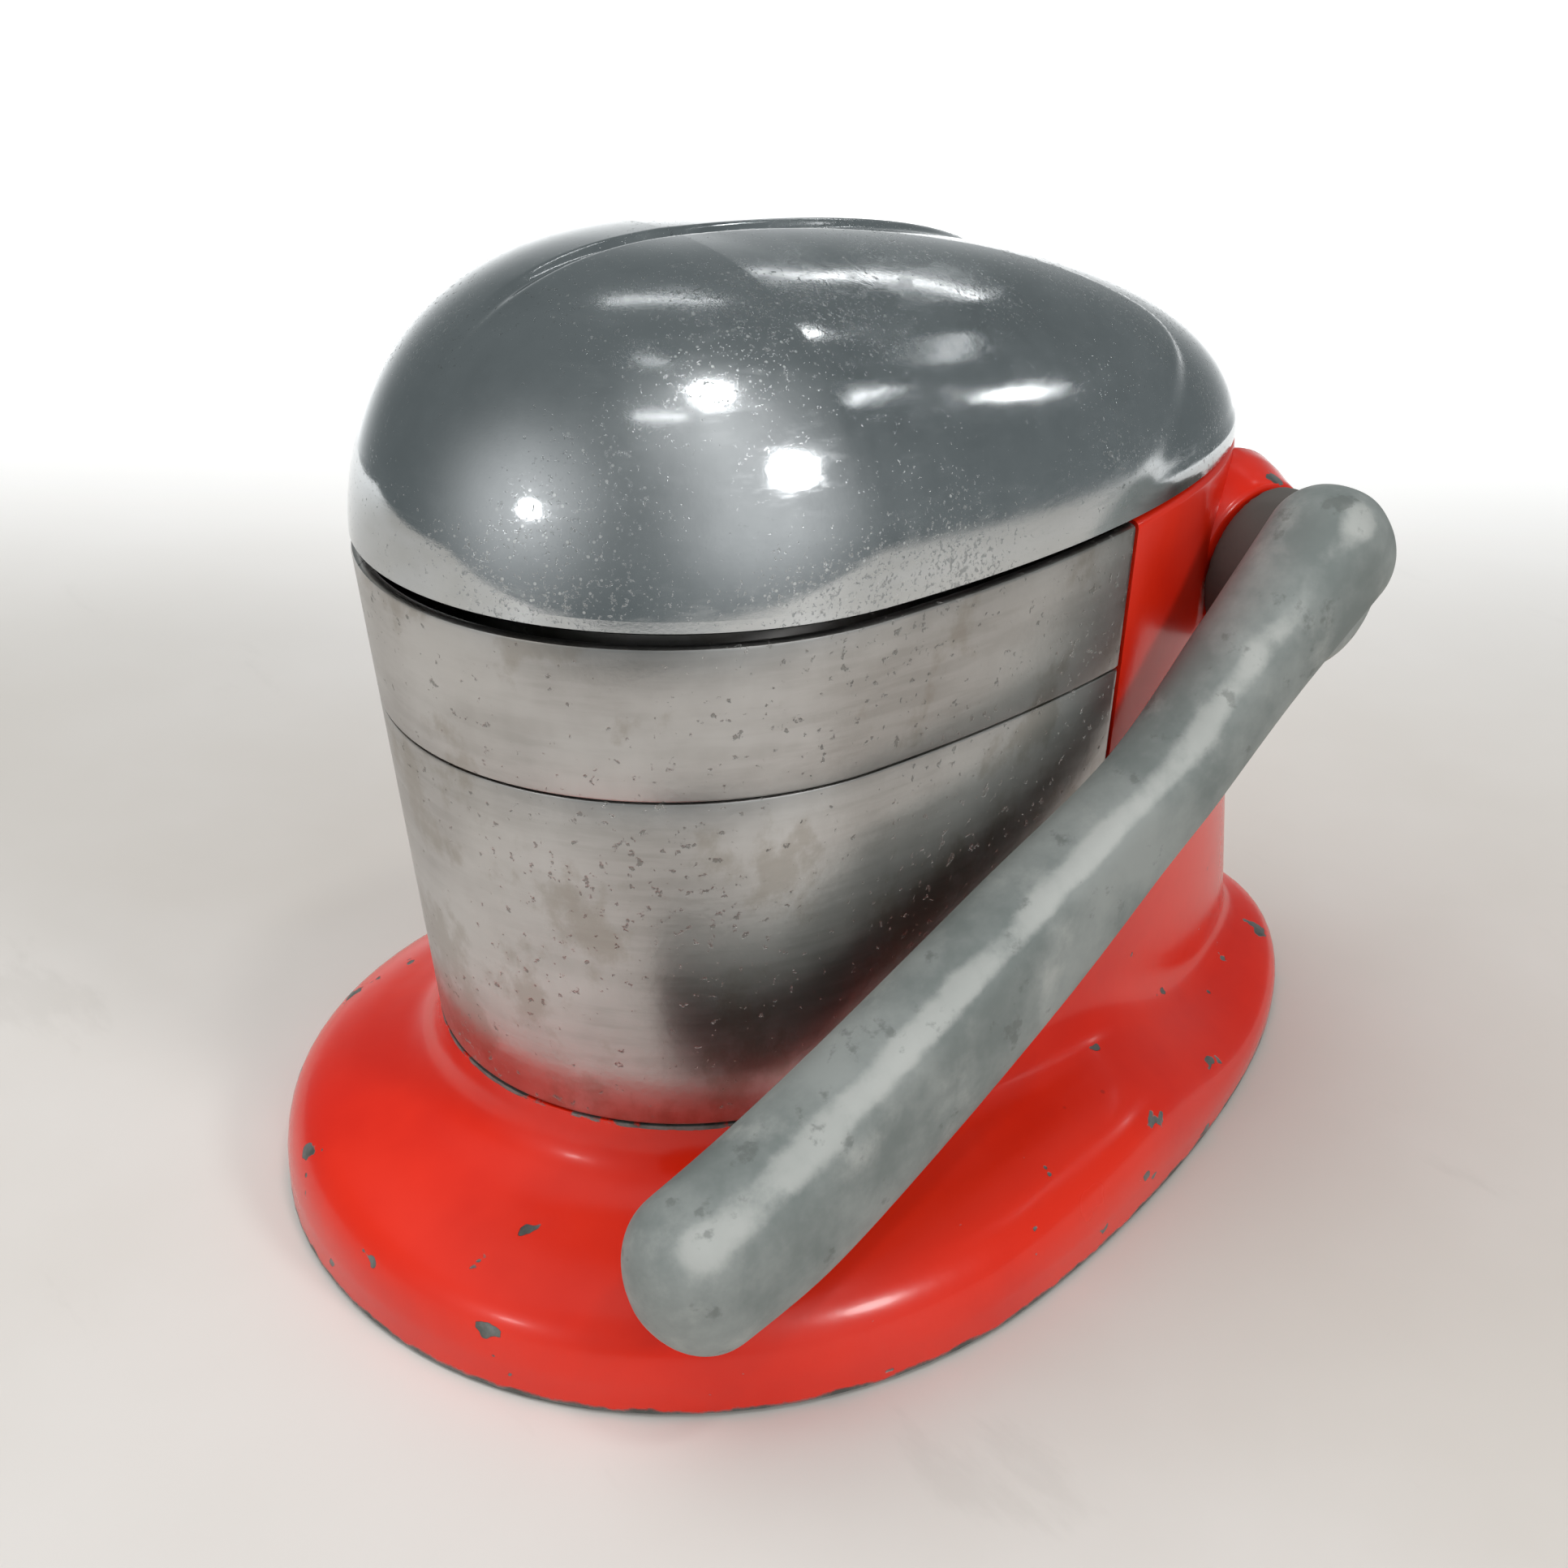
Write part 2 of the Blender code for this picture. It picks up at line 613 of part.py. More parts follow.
# ---- handle ----
HUB_RADIUS = 0.0165
HUB_START = BOSS_FACE + 0.0009
HUB_END = 0.0556
hub_length = HUB_END - HUB_START
hub_profile = [(0, hub_length), (0.0105, hub_length), (0.0140, hub_length - 0.0009),
               (0.0158, hub_length - 0.0028), (HUB_RADIUS, hub_length - 0.0058),
               (HUB_RADIUS - 0.0004, 0), (0, 0)]
handle = turned("handle", hub_profile, (HUB_START, shaft_axis.location.y, SHAFT_Z), "x", ZINC,
                shaft_axis, steps=44)

# stations along the arm: x, distance behind the cup's centre, z, half thickness, half width
HANDLE_STATIONS = [(0.0570, 0.1030, 0.1226, 0.0115, 0.0119), (0.0575, 0.0830, 0.1052, 0.0101, 0.0107),
                   (0.0590, 0.0600, 0.0860, 0.0090, 0.0098), (0.0620, 0.0285, 0.0690, 0.0100, 0.0124),
                   (0.0650, -0.0065, 0.0515, 0.0110, 0.0141), (0.0672, -0.0300, 0.0420, 0.0115, 0.0148),
                   (0.0680, -0.0470, 0.0366, 0.0115, 0.0147)]
ARM_TIP = 0.0135               # last station to the end of the grip
ARM_EDGE = 0.0045              # wall along the arm's edges
ARM_FACE = 0.0040              # wall of its outer face
SECTION_POWER = 2.5
SECTION_POINTS = 24


def catmull(stations, position):
    """A smooth value between the listed stations, at a position from 0 to their count less one."""
    index = min(int(position), len(stations) - 2)
    t = position - index
    around = [stations[min(max(index + k, 0), len(stations) - 1)] for k in (-1, 0, 1, 2)]
    out = []
    for a, b, c, d in zip(*around):
        out.append(0.5 * (2 * b + (c - a) * t + (2 * a - 5 * b + 4 * c - d) * t * t + (3 * b - a - 3 * c + d) * t**3))
    return out


def arm_section(centre, tangent, half_x, half_n):
    normal = Vector((0, -tangent.z, tangent.y)).normalized()
    if normal.z < 0:
        normal.negate()
    across = normal.cross(tangent).normalized()
    if across.x < 0:
        across.negate()
    ring = []
    for i in range(SECTION_POINTS):
        angle = 2 * math.pi * i / SECTION_POINTS
        c, s = math.cos(angle), math.sin(angle)
        u = math.copysign(abs(c) ** (2 / SECTION_POWER), c) * half_x
        v = math.copysign(abs(s) ** (2 / SECTION_POWER), s) * half_n
        ring.append(centre + across * u + normal * v)
    return ring


def arm_rings(first, steps, inset, shift):
    """Sections of the arm with round ends, from a station on; inset and shift give the hollow inside."""
    rings = []
    last = len(HANDLE_STATIONS) - 1
    rows = [catmull(HANDLE_STATIONS, blend(first, last, i / steps)) for i in range(steps + 1)]
    centres = [Vector((row[0] + shift, from_cup(row[1]), row[2])) for row in rows]
    tangents = [(centres[min(i + 1, steps)] - centres[max(i - 1, 0)]).normalized()
                for i in range(steps + 1)]
    start_length = rows[0][4] - inset
    end_length = ARM_TIP - inset
    for share in (0.97, 0.82, 0.58, 0.30):
        size = math.sqrt(1 - share * share)
        rings.append(arm_section(centres[0] - tangents[0] * start_length * share, tangents[0],
                                 rows[0][3] * size, (rows[0][4] - inset) * size))
    for row, centre, tangent in zip(rows, centres, tangents):
        rings.append(arm_section(centre, tangent, row[3], row[4] - inset))
    for share in (0.30, 0.58, 0.82, 0.97):
        size = math.sqrt(1 - share * share)
        rings.append(arm_section(centres[-1] + tangents[-1] * end_length * share, tangents[-1],
                                 rows[-1][3] * size, (rows[-1][4] - inset) * size))
    return rings


join(handle, loft("join_arm", arm_rings(0, 15, 0, 0), joint=shaft_axis))
cut(handle, loft("cut_arm_hollow", arm_rings(1.8, 9, ARM_EDGE, -ARM_FACE), joint=shaft_axis))
cut(handle, rod("cut_handle_bore", SHAFT_RADIUS + GAP, (0.030, shaft_axis.location.y, SHAFT_Z), "x",
                SHAFT_RIGHT_END + GAP - 0.030, joint=shaft_axis))
SET_SCREW_X = 0.0425
cut(handle, rod("cut_set_screw", 0.0025 + GAP, (SET_SCREW_X, shaft_axis.location.y, SHAFT_Z), "-z", 0.020,
                joint=shaft_axis, steps=16))
rod("handle_set_screw", 0.0025, (SET_SCREW_X, shaft_axis.location.y, SHAFT_Z - SHAFT_RADIUS - GAP),
    "-z", 0.0075,
    STEEL, shaft_axis, steps=16, bevel=0.0004)
tube("thrust_washer", 0.0100, SHAFT_RADIUS + GAP, (BOSS_FACE + GAP, shaft_axis.location.y, SHAFT_Z),
     "x", 0.0004,
     BRONZE, shaft_axis)

# ---- cap on the shaft's left end ----
CAP_FACE = -BOSS_FACE - GAP
cap_profile = [(0, 0.0052), (0.0060, 0.0052), (0.0098, 0.0044), (0.0120, 0.0026), (0.0125, 0.0),
               (SHAFT_RADIUS + GAP, 0.0), (SHAFT_RADIUS + GAP, 0.0022), (0, 0.0022)]
cap = turned("shaft_end_cap", cap_profile, (CAP_FACE, shaft_axis.location.y, SHAFT_Z), "-x", ZINC,
             shaft_axis,
             steps=32)
cut(cap,
    rod("cut_cap_hole", SCREW_RADIUS + GAP, (CAP_FACE + 0.001, shaft_axis.location.y, SHAFT_Z), "-x", 0.010,
             joint=shaft_axis, steps=16))


def screw(name, at, along, length, finish=STEEL, joint=None, head=SCREW_HEAD_RADIUS):
    """A pan-head screw with its head on the near side of the point given."""
    profile = [(0, length), (SCREW_RADIUS - 0.0004, length), (SCREW_RADIUS, length - 0.0005),
               (SCREW_RADIUS, 0),
               (head, 0), (head, -SCREW_HEAD_HEIGHT * 0.5), (head * 0.7, -SCREW_HEAD_HEIGHT),
               (0, -SCREW_HEAD_HEIGHT)]
    return turned(name, profile, at, along, finish, joint, steps=14)


cap_seat = CAP_FACE - 0.0052 - GAP
screw("end_cap_screw", (cap_seat, shaft_axis.location.y, SHAFT_Z), "x",
      SHAFT_LEFT_END + END_SCREW_DEPTH - GAP - cap_seat, joint=shaft_axis)

# ---- post guide and its screws ----
wall_inside = COLUMN_FRONT + COLUMN_FRONT_WALL
guide = block("post_guide", (-0.0150, from_cup(wall_inside + GAP), 0.0780),
              (0.0150, from_cup(0.0950), 0.0920), BRONZE)
cut(guide, block("cut_guide_channel", (-POST_HALF_WIDTH - GAP, from_cup(POST_FRONT - GAP), 0.07),
                 (POST_HALF_WIDTH + GAP, from_cup(0.12), 0.10)))
head_seat = COLUMN_FRONT + SCREW_HEAD_HEIGHT + GAP
for number, (x, z) in enumerate(GUIDE_SCREWS):
    cut(guide,
        rod(f"cut_guide_thread_{number}", SCREW_RADIUS + GAP, (x, from_cup(wall_inside - 0.001), z), "y",
                   0.0110, steps=16))
    screw(f"guide_screw_{number + 1}", (x, from_cup(head_seat), z), "y", wall_inside - head_seat + 0.0090)

# ---- lift post with its rack and hinge eye ----


def rack_outline():
    """Front face, hinge head and a rack whose tooth spaces face the pinion's teeth at rest."""
    body_rear = RACK_LINE - TOOTH_ROOT
    outline = [(POST_FRONT, POST_BOTTOM), (body_rear, POST_BOTTOM)]
    first = math.ceil((SHAFT_Z - LIFT - 0.008 - SHAFT_Z) / PITCH)
    for tooth in range(first, 2):
        middle = SHAFT_Z + (tooth + 0.5) * PITCH
        outline += [(body_rear, middle - 0.28 * PITCH), (RACK_LINE, middle - 0.18 * PITCH),
                    (RACK_LINE + TOOTH_TIP, middle - 0.08 * PITCH),
                    (RACK_LINE + TOOTH_TIP, middle + 0.08 * PITCH),
                    (RACK_LINE, middle + 0.18 * PITCH), (body_rear, middle + 0.28 * PITCH)]
    head_low = COLUMN_TOP + 0.0018
    outline += [(body_rear, head_low), (HINGE_Y + 0.0045, head_low), (HINGE_Y + 0.0055, HINGE_Z),
                (HINGE_Y + 0.0035, HINGE_Z + 0.0045), (HINGE_Y - 0.0040, HINGE_Z + 0.0055),
                (POST_FRONT, HINGE_Z + 0.0010)]
    return [(from_cup(y), z) for y, z in outline]


post = prism("lift_post", rack_outline(), -POST_HALF_WIDTH, POST_HALF_WIDTH, STEEL, post_slide)
cut(post,
    rod("cut_post_eye", HINGE_RADIUS + GAP, (-0.02, from_cup(HINGE_Y), HINGE_Z), "x", 0.04,
        joint=post_slide,
              steps=24))
pin_half = CHEEK_INSIDE + CHEEK_THICKNESS + 0.0007
rod("lid_hinge_pin", HINGE_RADIUS, (-pin_half, from_cup(HINGE_Y), HINGE_Z), "x", 2 * pin_half, STEEL,
    post_slide,
    steps=24, bevel=0.0004)

# ---- cam: a steel channel on the column's front wall, whose slots guide the lid's rollers ----


def roller_place(lift):
    """(y, z) of the rollers' centre when the post has risen by a lift."""
    angle = LID_REST_TILT + lift * TILT_PER_LIFT
    dy, dz = ROLLER_FROM_HINGE
    return (HINGE_Y + dy * math.cos(angle) + dz * math.sin(angle),
            HINGE_Z + lift + dz * math.cos(angle) - dy * math.sin(angle))


def cam_band(half_width, overrun, steps=14):
    """Outline of a band along the rollers' path, with blunt ends that run past it."""
    path = [Vector(roller_place(LIFT * i / steps)) for i in range(steps + 1)]
    sides = ([], [])
    for i, place in enumerate(path):
        along = (path[min(i + 1, steps)] - path[max(i - 1, 0)]).normalized()
        normal = Vector((-along.y, along.x))
        for side, sign in zip(sides, (1, -1)):
            side.append(place + normal * half_width * sign)
    start = (path[0] - path[1]).normalized() * overrun
    end = (path[-1] - path[-2]).normalized() * overrun
    narrow = 0.55
    starts = [blend(path[0] + start, side[0] + start, narrow) for side in sides]
    stops = [blend(path[-1] + end, side[-1] + end, narrow) for side in sides]
    outline = [*sides[0], stops[0], stops[1], *reversed(sides[1]), starts[1], starts[0]]
    return [(from_cup(place.x), place.y) for place in outline]


slot_half = ROLLER_RADIUS + ROLLER_CLEARANCE
cam_reach = CAM_INSIDE + CAM_THICKNESS
cam_low = SHAFT_Z - 0.0060
cam = block("tilt_cam", (-cam_reach, from_cup(wall_inside + GAP), cam_low),
            (cam_reach, from_cup(wall_inside + GAP + 0.0020), COLUMN_TOP - 0.0060), STEEL)
for side in (-1, 1):
    inner, outer = sorted((side * CAM_INSIDE, side * cam_reach))
    join(cam,
         block(f"join_cam_side_{side}", (inner, from_cup(wall_inside + GAP + 0.0005), cam_low + 0.0001),
                    (outer, from_cup(HINGE_Y - 0.0010), COLUMN_TOP - 0.0062)))
    join(cam,
         prism(f"join_cam_band_{side}", cam_band(CAM_BAND, CAM_BAND * 0.8), inner + 0.00001,
               outer - 0.00001))
cut(cam, prism("cut_cam_slot", cam_band(slot_half, slot_half), -0.02, 0.02))
for number, (x, z) in enumerate(CAM_SCREWS):
    cut(cam, rod(f"cut_cam_thread_{number}", SCREW_RADIUS + GAP, (x, from_cup(wall_inside - 0.002), z), "y",
                 0.0080, steps=16))
    screw(f"cam_screw_{number + 1}", (x, from_cup(head_seat), z), "y", wall_inside - head_seat + 0.0040)

# ---- lid bracket: two cheeks and an arm ----


def disc_outline(y, z, radius, first, last, steps):
    return [(y + radius * math.cos(math.radians(blend(first, last, i / steps))),
             z + radius * math.sin(math.radians(blend(first, last, i / steps)))) for i in range(steps + 1)]


roller_y = HINGE_Y + ROLLER_FROM_HINGE[0]
roller_z = HINGE_Z + ROLLER_FROM_HINGE[1]
cheek = [*disc_outline(roller_y, roller_z, 0.0042, 170, 370, 8),
         *disc_outline(HINGE_Y, HINGE_Z, 0.0060, -20, 100, 6),
         (0.0860, ARM_TOP), (0.0600, ARM_TOP), (0.0600, ARM_UNDERSIDE), (0.0800, ARM_UNDERSIDE - 0.0030)]
cheek = [(from_cup(y), z) for y, z in cheek]
bracket = prism("lid_bracket", cheek, CHEEK_INSIDE, CHEEK_INSIDE + CHEEK_THICKNESS, STEEL, lid_axis)
join(bracket,
     prism("join_left_cheek", cheek, -CHEEK_INSIDE - CHEEK_THICKNESS, -CHEEK_INSIDE, joint=lid_axis))
arm_half = CHEEK_INSIDE + CHEEK_THICKNESS - 0.0001
ARM_FRONT = -0.0110
ARM_REAR = 0.0780
join(bracket, block("join_arm_plate", (-arm_half, from_cup(ARM_FRONT), ARM_UNDERSIDE + 0.0001),
                    (arm_half, from_cup(ARM_REAR), ARM_TOP - 0.0001), joint=lid_axis))
cut(bracket, rod("cut_cheek_eyes", HINGE_RADIUS + GAP, (-0.02, from_cup(HINGE_Y), HINGE_Z), "x", 0.04,
                 joint=lid_axis, steps=24))
STUD_RADIUS = 0.0014
cut(bracket, rod("cut_roller_holes", STUD_RADIUS + GAP, (-0.02, from_cup(roller_y), roller_z), "x", 0.04,
                 joint=lid_axis, steps=16))
roller_start = CHEEK_INSIDE + CHEEK_THICKNESS + GAP
for side, along in ((1, "x"), (-1, "-x")):
    name = "tilt_roller_right" if side > 0 else "tilt_roller_left"
    profile = [(0, cam_reach - CHEEK_INSIDE), (ROLLER_RADIUS, cam_reach - CHEEK_INSIDE),
               (ROLLER_RADIUS, roller_start - CHEEK_INSIDE), (STUD_RADIUS, roller_start - CHEEK_INSIDE),
               (STUD_RADIUS, GAP), (0, GAP)]
    turned(name, profile, (side * CHEEK_INSIDE, from_cup(roller_y), roller_z), along, STEEL, lid_axis,
           steps=20)

# ---- lid shell ----


def lid_outline(share, inset):
    """Rim outline shrunk about the crown: share 1 at the rim, 0 at the crown."""
    width = RING_TOP_HALF_WIDTH - inset
    front = RING_TOP_FRONT - inset
    rear = COLUMN_REAR_TOP - inset
    half = [(width * math.sin(a), -front * math.cos(a)) for a in quarter(FRONT_STEPS)]
    steps = SIDE_STEPS + REAR_STEPS
    half += [(width * math.cos(a), rear * math.sin(a)) for a in quarter(steps)[1:]]
    half[-1] = (0, half[-1][1])
    return [(x * share, from_cup(LID_PEAK + (y - LID_PEAK) * share)) for x, y in mirrored(half)]


def crown(share, y_direction, height):
    """Height over the rim: a full nose, and a back that falls away."""
    back = max(y_direction, 0)
    first = blend(2.45, 1.75, back)
    second = blend(0.48, 0.5, back)
    return height * max(1 - share**first, 0) ** second


LID_SHARES = (1.0, 0.995, 0.975, 0.93, 0.85, 0.73, 0.58, 0.40, 0.22, 0.05)


def lid_rings(inset, low, height):
    rings = []
    rim = lid_outline(1.0, inset)
    for share in LID_SHARES:
        ring = []
        for (x, y), (rim_x, rim_y) in zip(lid_outline(share, inset), rim):
            reach = Vector((rim_x, rim_y - from_cup(LID_PEAK)))
            ring.append((x, y, low + crown(share, reach.normalized().y, height)))
        rings.append(ring)
    return rings


outer_dome = lid_rings(0, LID_RIM, LID_CROWN)
inner_dome = lid_rings(LID_WALL, LID_RIM, LID_CROWN - LID_WALL)
lid = loft("lid_shell", [*reversed(inner_dome), *outer_dome], CHROME, lid_axis)

LID_SCREWS = [(0.0045, 0.0690), (-0.0045, 0.0690), (0, 0.0300)]
for number, (x, y) in enumerate(LID_SCREWS):
    share = math.hypot(y - LID_PEAK, x) / (COLUMN_REAR_TOP - LID_PEAK)
    boss_top = LID_RIM + crown(share, 1, LID_CROWN) - 0.0014
    join(lid, rod(f"join_lid_boss_{number}", BOSS_RADIUS, (x, from_cup(y), ARM_TOP + GAP), "z",
                  boss_top - ARM_TOP - GAP, joint=lid_axis, steps=20))
    cut(lid,
        rod(f"cut_lid_thread_{number}", SCREW_RADIUS + GAP, (x, from_cup(y), ARM_TOP - 0.001), "z", 0.0090,
                 joint=lid_axis, steps=16))
    cut(bracket,
        rod(f"cut_arm_hole_{number}", SCREW_RADIUS + GAP, (x, from_cup(y), ARM_UNDERSIDE - 0.002), "z",
                     0.008, joint=lid_axis, steps=16))
    screw(f"lid_screw_{number + 1}", (x, from_cup(y), ARM_UNDERSIDE - GAP), "z", ARM_THICKNESS + 0.0070,
          joint=lid_axis)

# ---- press cup, hung from the arm ----
press_top = ARM_UNDERSIDE - GAP
press_height = press_top - PRESS_RIM
outer_press = ribbed_rings(PRESS_RADIUS, press_height / math.sin(math.pi / 2 * 0.96), PRESS_RIM,
                           RIB_COUNT, 0.0, 6, 0.75)
inner_press = ribbed_rings(PRESS_RADIUS - PRESS_WALL,
                           (press_height - PRESS_WALL) / math.sin(math.pi / 2 * 0.96),
                           PRESS_RIM, RIB_COUNT, 0.10, 6, 0.75)
inner_press = [[(x * 0.965, from_cup((y - CUP_Y) * 0.965), z) for x, y, z in ring] for ring in inner_press]
press = loft("press_cup", [*reversed(inner_press), *outer_press], ALUMINIUM, lid_axis)
for piece, low in ((press, press_top - 0.006), (bracket, ARM_UNDERSIDE - 0.002)):
    cut(piece, rod(f"cut_press_hole_{piece.name}", SCREW_RADIUS + GAP, (0, CUP_Y, low), "z", 0.009,
                   joint=lid_axis, steps=16))
screw("press_cup_screw", (0, CUP_Y, press_top - PRESS_WALL - GAP), "z", PRESS_WALL + ARM_THICKNESS + 0.0050,
      joint=lid_axis)
nut_points = [(0.0034 * math.cos(math.pi / 3 * i),
               from_cup(0.0034 * math.sin(math.pi / 3 * i))) for i in range(6)]
nut = loft("press_cup_nut",
           [at_height(nut_points, ARM_TOP + GAP), at_height(nut_points, ARM_TOP + GAP + 0.0030)],
           STEEL, lid_axis)
cut(nut, rod("cut_nut_thread", SCREW_RADIUS + GAP, (0, CUP_Y, ARM_TOP - 0.001), "z", 0.009, joint=lid_axis,
             steps=16))
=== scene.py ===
# Lever-press citrus juicer, dressed and lit for a studio picture.
import math

import bpy
from mathutils import Matrix, Vector


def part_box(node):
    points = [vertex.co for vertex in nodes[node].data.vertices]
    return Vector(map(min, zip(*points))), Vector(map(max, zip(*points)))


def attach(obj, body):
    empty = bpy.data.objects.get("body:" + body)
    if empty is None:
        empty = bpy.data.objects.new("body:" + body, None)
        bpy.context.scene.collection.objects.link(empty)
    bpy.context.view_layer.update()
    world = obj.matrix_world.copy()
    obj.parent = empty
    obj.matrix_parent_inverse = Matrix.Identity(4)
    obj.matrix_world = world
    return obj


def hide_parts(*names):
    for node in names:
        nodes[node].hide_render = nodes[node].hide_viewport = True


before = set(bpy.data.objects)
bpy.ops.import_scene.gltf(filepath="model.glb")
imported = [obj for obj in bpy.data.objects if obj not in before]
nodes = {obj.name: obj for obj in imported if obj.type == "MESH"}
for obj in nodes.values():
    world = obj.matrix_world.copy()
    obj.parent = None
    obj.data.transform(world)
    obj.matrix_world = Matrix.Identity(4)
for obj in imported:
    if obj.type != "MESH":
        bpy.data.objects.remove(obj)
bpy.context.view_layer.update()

# ---- camera ----
# A hand-held camera over the juicer's front right corner, looking down at it, with a slight roll.
CAMERA_PLACE = Vector((0.2720, -0.2369, 0.2618))
CAMERA_AZIMUTH = math.radians(51.20)
CAMERA_ELEVATION = math.radians(28.36)
CAMERA_ROLL = math.radians(1.87)
CAMERA_LENS = 47.34

away = Vector((-math.sin(CAMERA_AZIMUTH), math.cos(CAMERA_AZIMUTH), 0))
back = -away * math.cos(CAMERA_ELEVATION) + Vector((0, 0, math.sin(CAMERA_ELEVATION)))
level_right = Vector((math.cos(CAMERA_AZIMUTH), math.sin(CAMERA_AZIMUTH), 0))
level_up = back.cross(level_right)
right = level_right * math.cos(CAMERA_ROLL) + level_up * math.sin(CAMERA_ROLL)
bpy.ops.object.camera_add(location=CAMERA_PLACE)
camera = bpy.context.active_object
turn = Matrix((right, back.cross(right), back)).transposed().to_4x4()
camera.matrix_world = Matrix.Translation(CAMERA_PLACE) @ turn
camera.data.sensor_width = 36
camera.data.lens = CAMERA_LENS
camera.data.clip_start = 0.01
bpy.context.scene.camera = camera


# ---- how a finish is written ----
# Each finish is one Principled surface. Numbers that change over it are written as sums, and every
# pattern is read in the piece's own coordinates.
class Level:
    """A number that changes over a surface. Sums on it add their Math nodes."""

    def __init__(self, finish, socket):
        self.finish = finish
        self.socket = socket

    def sum(self, operation, first, second):
        return self.finish.node("Math", {"operation": operation}, {0: first, 1: second})

    def __add__(self, other):
        return self.sum("ADD", self, other)

    def __radd__(self, other):
        return self.sum("ADD", other, self)

    def __sub__(self, other):
        return self.sum("SUBTRACT", self, other)

    def __rsub__(self, other):
        return self.sum("SUBTRACT", other, self)

    def __mul__(self, other):
        return self.sum("MULTIPLY", self, other)

    def __rmul__(self, other):
        return self.sum("MULTIPLY", other, self)

    def step(self, low, high):
        """0 below low, 1 above high, and a smooth rise between them."""
        return self.finish.node("MapRange", {"interpolation_type": "SMOOTHSTEP"},
                                {"Value": self, "From Min": low, "From Max": high})


class Finish:
    """A material with one Principled surface."""

    def __init__(self, name, colour, roughness, metallic):
        self.material = bpy.data.materials.new(name)
        self.material.use_nodes = True
        self.tree = self.material.node_tree
        self.surface = self.tree.nodes["Principled BSDF"]
        self.put(self.surface, {"Base Color": (*colour, 1), "Roughness": roughness, "Metallic": metallic})
        self.place = self.node("TexCoord", {}, {}, "Object")

    def put(self, node, values):
        for key, value in values.items():
            if isinstance(value, Level):
                self.tree.links.new(value.socket, node.inputs[key])
            else:
                node.inputs[key].default_value = value

    def node(self, kind, settings, values, out=0):
        made = self.tree.nodes.new("ShaderNode" + kind)
        for key, value in settings.items():
            setattr(made, key, value)
        self.put(made, values)
        return Level(self, made.outputs[out])

    def stretched(self, scale, shift=(0, 0, 0)):
        return self.node("Mapping", {}, {"Vector": self.place, "Location": shift, "Scale": scale})

    def cloud(self, scale, detail=4.0, roughness=0.55, place=None):
        """Cloudy noise from about 0.25 to 0.75."""
        return self.node("TexNoise", {}, {"Vector": place or self.place, "Scale": scale, "Detail": detail,
                                          "Roughness": roughness})

    def specks(self, scale, size, place=None):
        """1 in small round spots, one in each cell of the scale, and 0 between them."""
        distance = self.node("TexVoronoi", {}, {"Vector": place or self.place, "Scale": scale}, "Distance")
        return 1 - distance.step(size * 0.5, size)

    def mix(self, share, first, second):
        first = first if isinstance(first, Level) else (*first, 1)
        second = second if isinstance(second, Level) else (*second, 1)
        return self.node("Mix", {"data_type": "RGBA"}, {0: share, 6: first, 7: second}, 2)

    def along(self, axis):
        return self.node("SeparateXYZ", {}, {0: self.place}, axis)

    def relief(self, height, distance, strength=1.0):
        """Feeds the surface's Normal from a height in metres per unit."""
        bump = self.node("Bump", {}, {"Height": height, "Distance": distance, "Strength": strength})
        self.put(self.surface, {"Normal": bump})

    def on(self, piece):
        piece.data.materials.clear()
        piece.data.materials.append(self.material)


def dress(finish, *names):
    """Gives CAD nodes a finish."""
    for name in names:
        finish.on(nodes[name])


# ---- table, backdrop and lamps ----
# The juicer stands on a pale worn table top. Towards its far edge, where the room beyond it is white,
# its colour is painted brighter and it glows as painted light. Lamps and long tubes hang round it, and
# the rest of the room is dim.
TABLE_EDGE = 0.520
TABLE_DEPTH = 0.94
TABLE_WIDTH = 2.40
PAINTED_BRIGHT_START = 0.06
PAINTED_GLOW_START = 0.20
bpy.ops.object.select_all(action="DESELECT")
bpy.ops.mesh.primitive_plane_add(size=1)
table = bpy.context.active_object
table.name = "table_top"
table.data.transform(Matrix.Diagonal((TABLE_WIDTH, TABLE_DEPTH, 1, 1)))
table.data.transform(Matrix.Rotation(CAMERA_AZIMUTH, 4, "Z"))
table.data.transform(Matrix.Translation(away * (TABLE_EDGE - TABLE_DEPTH / 2)))
top = Finish("pale_table", (0.70, 0.67, 0.63), 0.42, 0.0)
wear = top.cloud(5, 5) * 0.6 + top.cloud(1.3, 2) * 0.4
top_colour = top.mix(wear.step(0.35, 0.65), (0.66, 0.615, 0.565), (0.74, 0.70, 0.665))
scuff = top.cloud(9, 8, 0.62, top.stretched((1, 2.6, 1), (3.1, 0.4, 0)))
top_colour = top.mix(scuff.step(0.60, 0.68) * 0.14, top_colour, (0.42, 0.39, 0.35))
far = top.node("VectorMath", {"operation": "DOT_PRODUCT"}, {0: top.place, 1: away}, "Value")
# painted light: the colour turns near white towards the far edge, and that part of the table glows
top_colour = top.mix(far.step(PAINTED_BRIGHT_START, TABLE_EDGE), top_colour, (1.0, 0.99, 0.98))
painted_far_glow = top.mix(far.step(PAINTED_GLOW_START, TABLE_EDGE), (0, 0, 0), (0.36, 0.36, 0.36))
top.put(top.surface, {"Base Color": top_colour, "Roughness": 0.36 + 0.16 * wear,
                      "Emission Color": painted_far_glow, "Emission Strength": 1})
top.on(table)

bpy.context.scene.view_settings.view_transform = "Standard"
world = bpy.data.worlds.new("studio")
bpy.context.scene.world = world
world.use_nodes = True
sky = world.node_tree
ray = sky.nodes.new("ShaderNodeTexCoord").outputs["Generated"]
ROOM = (0.165, 0.187, 0.192, 1)
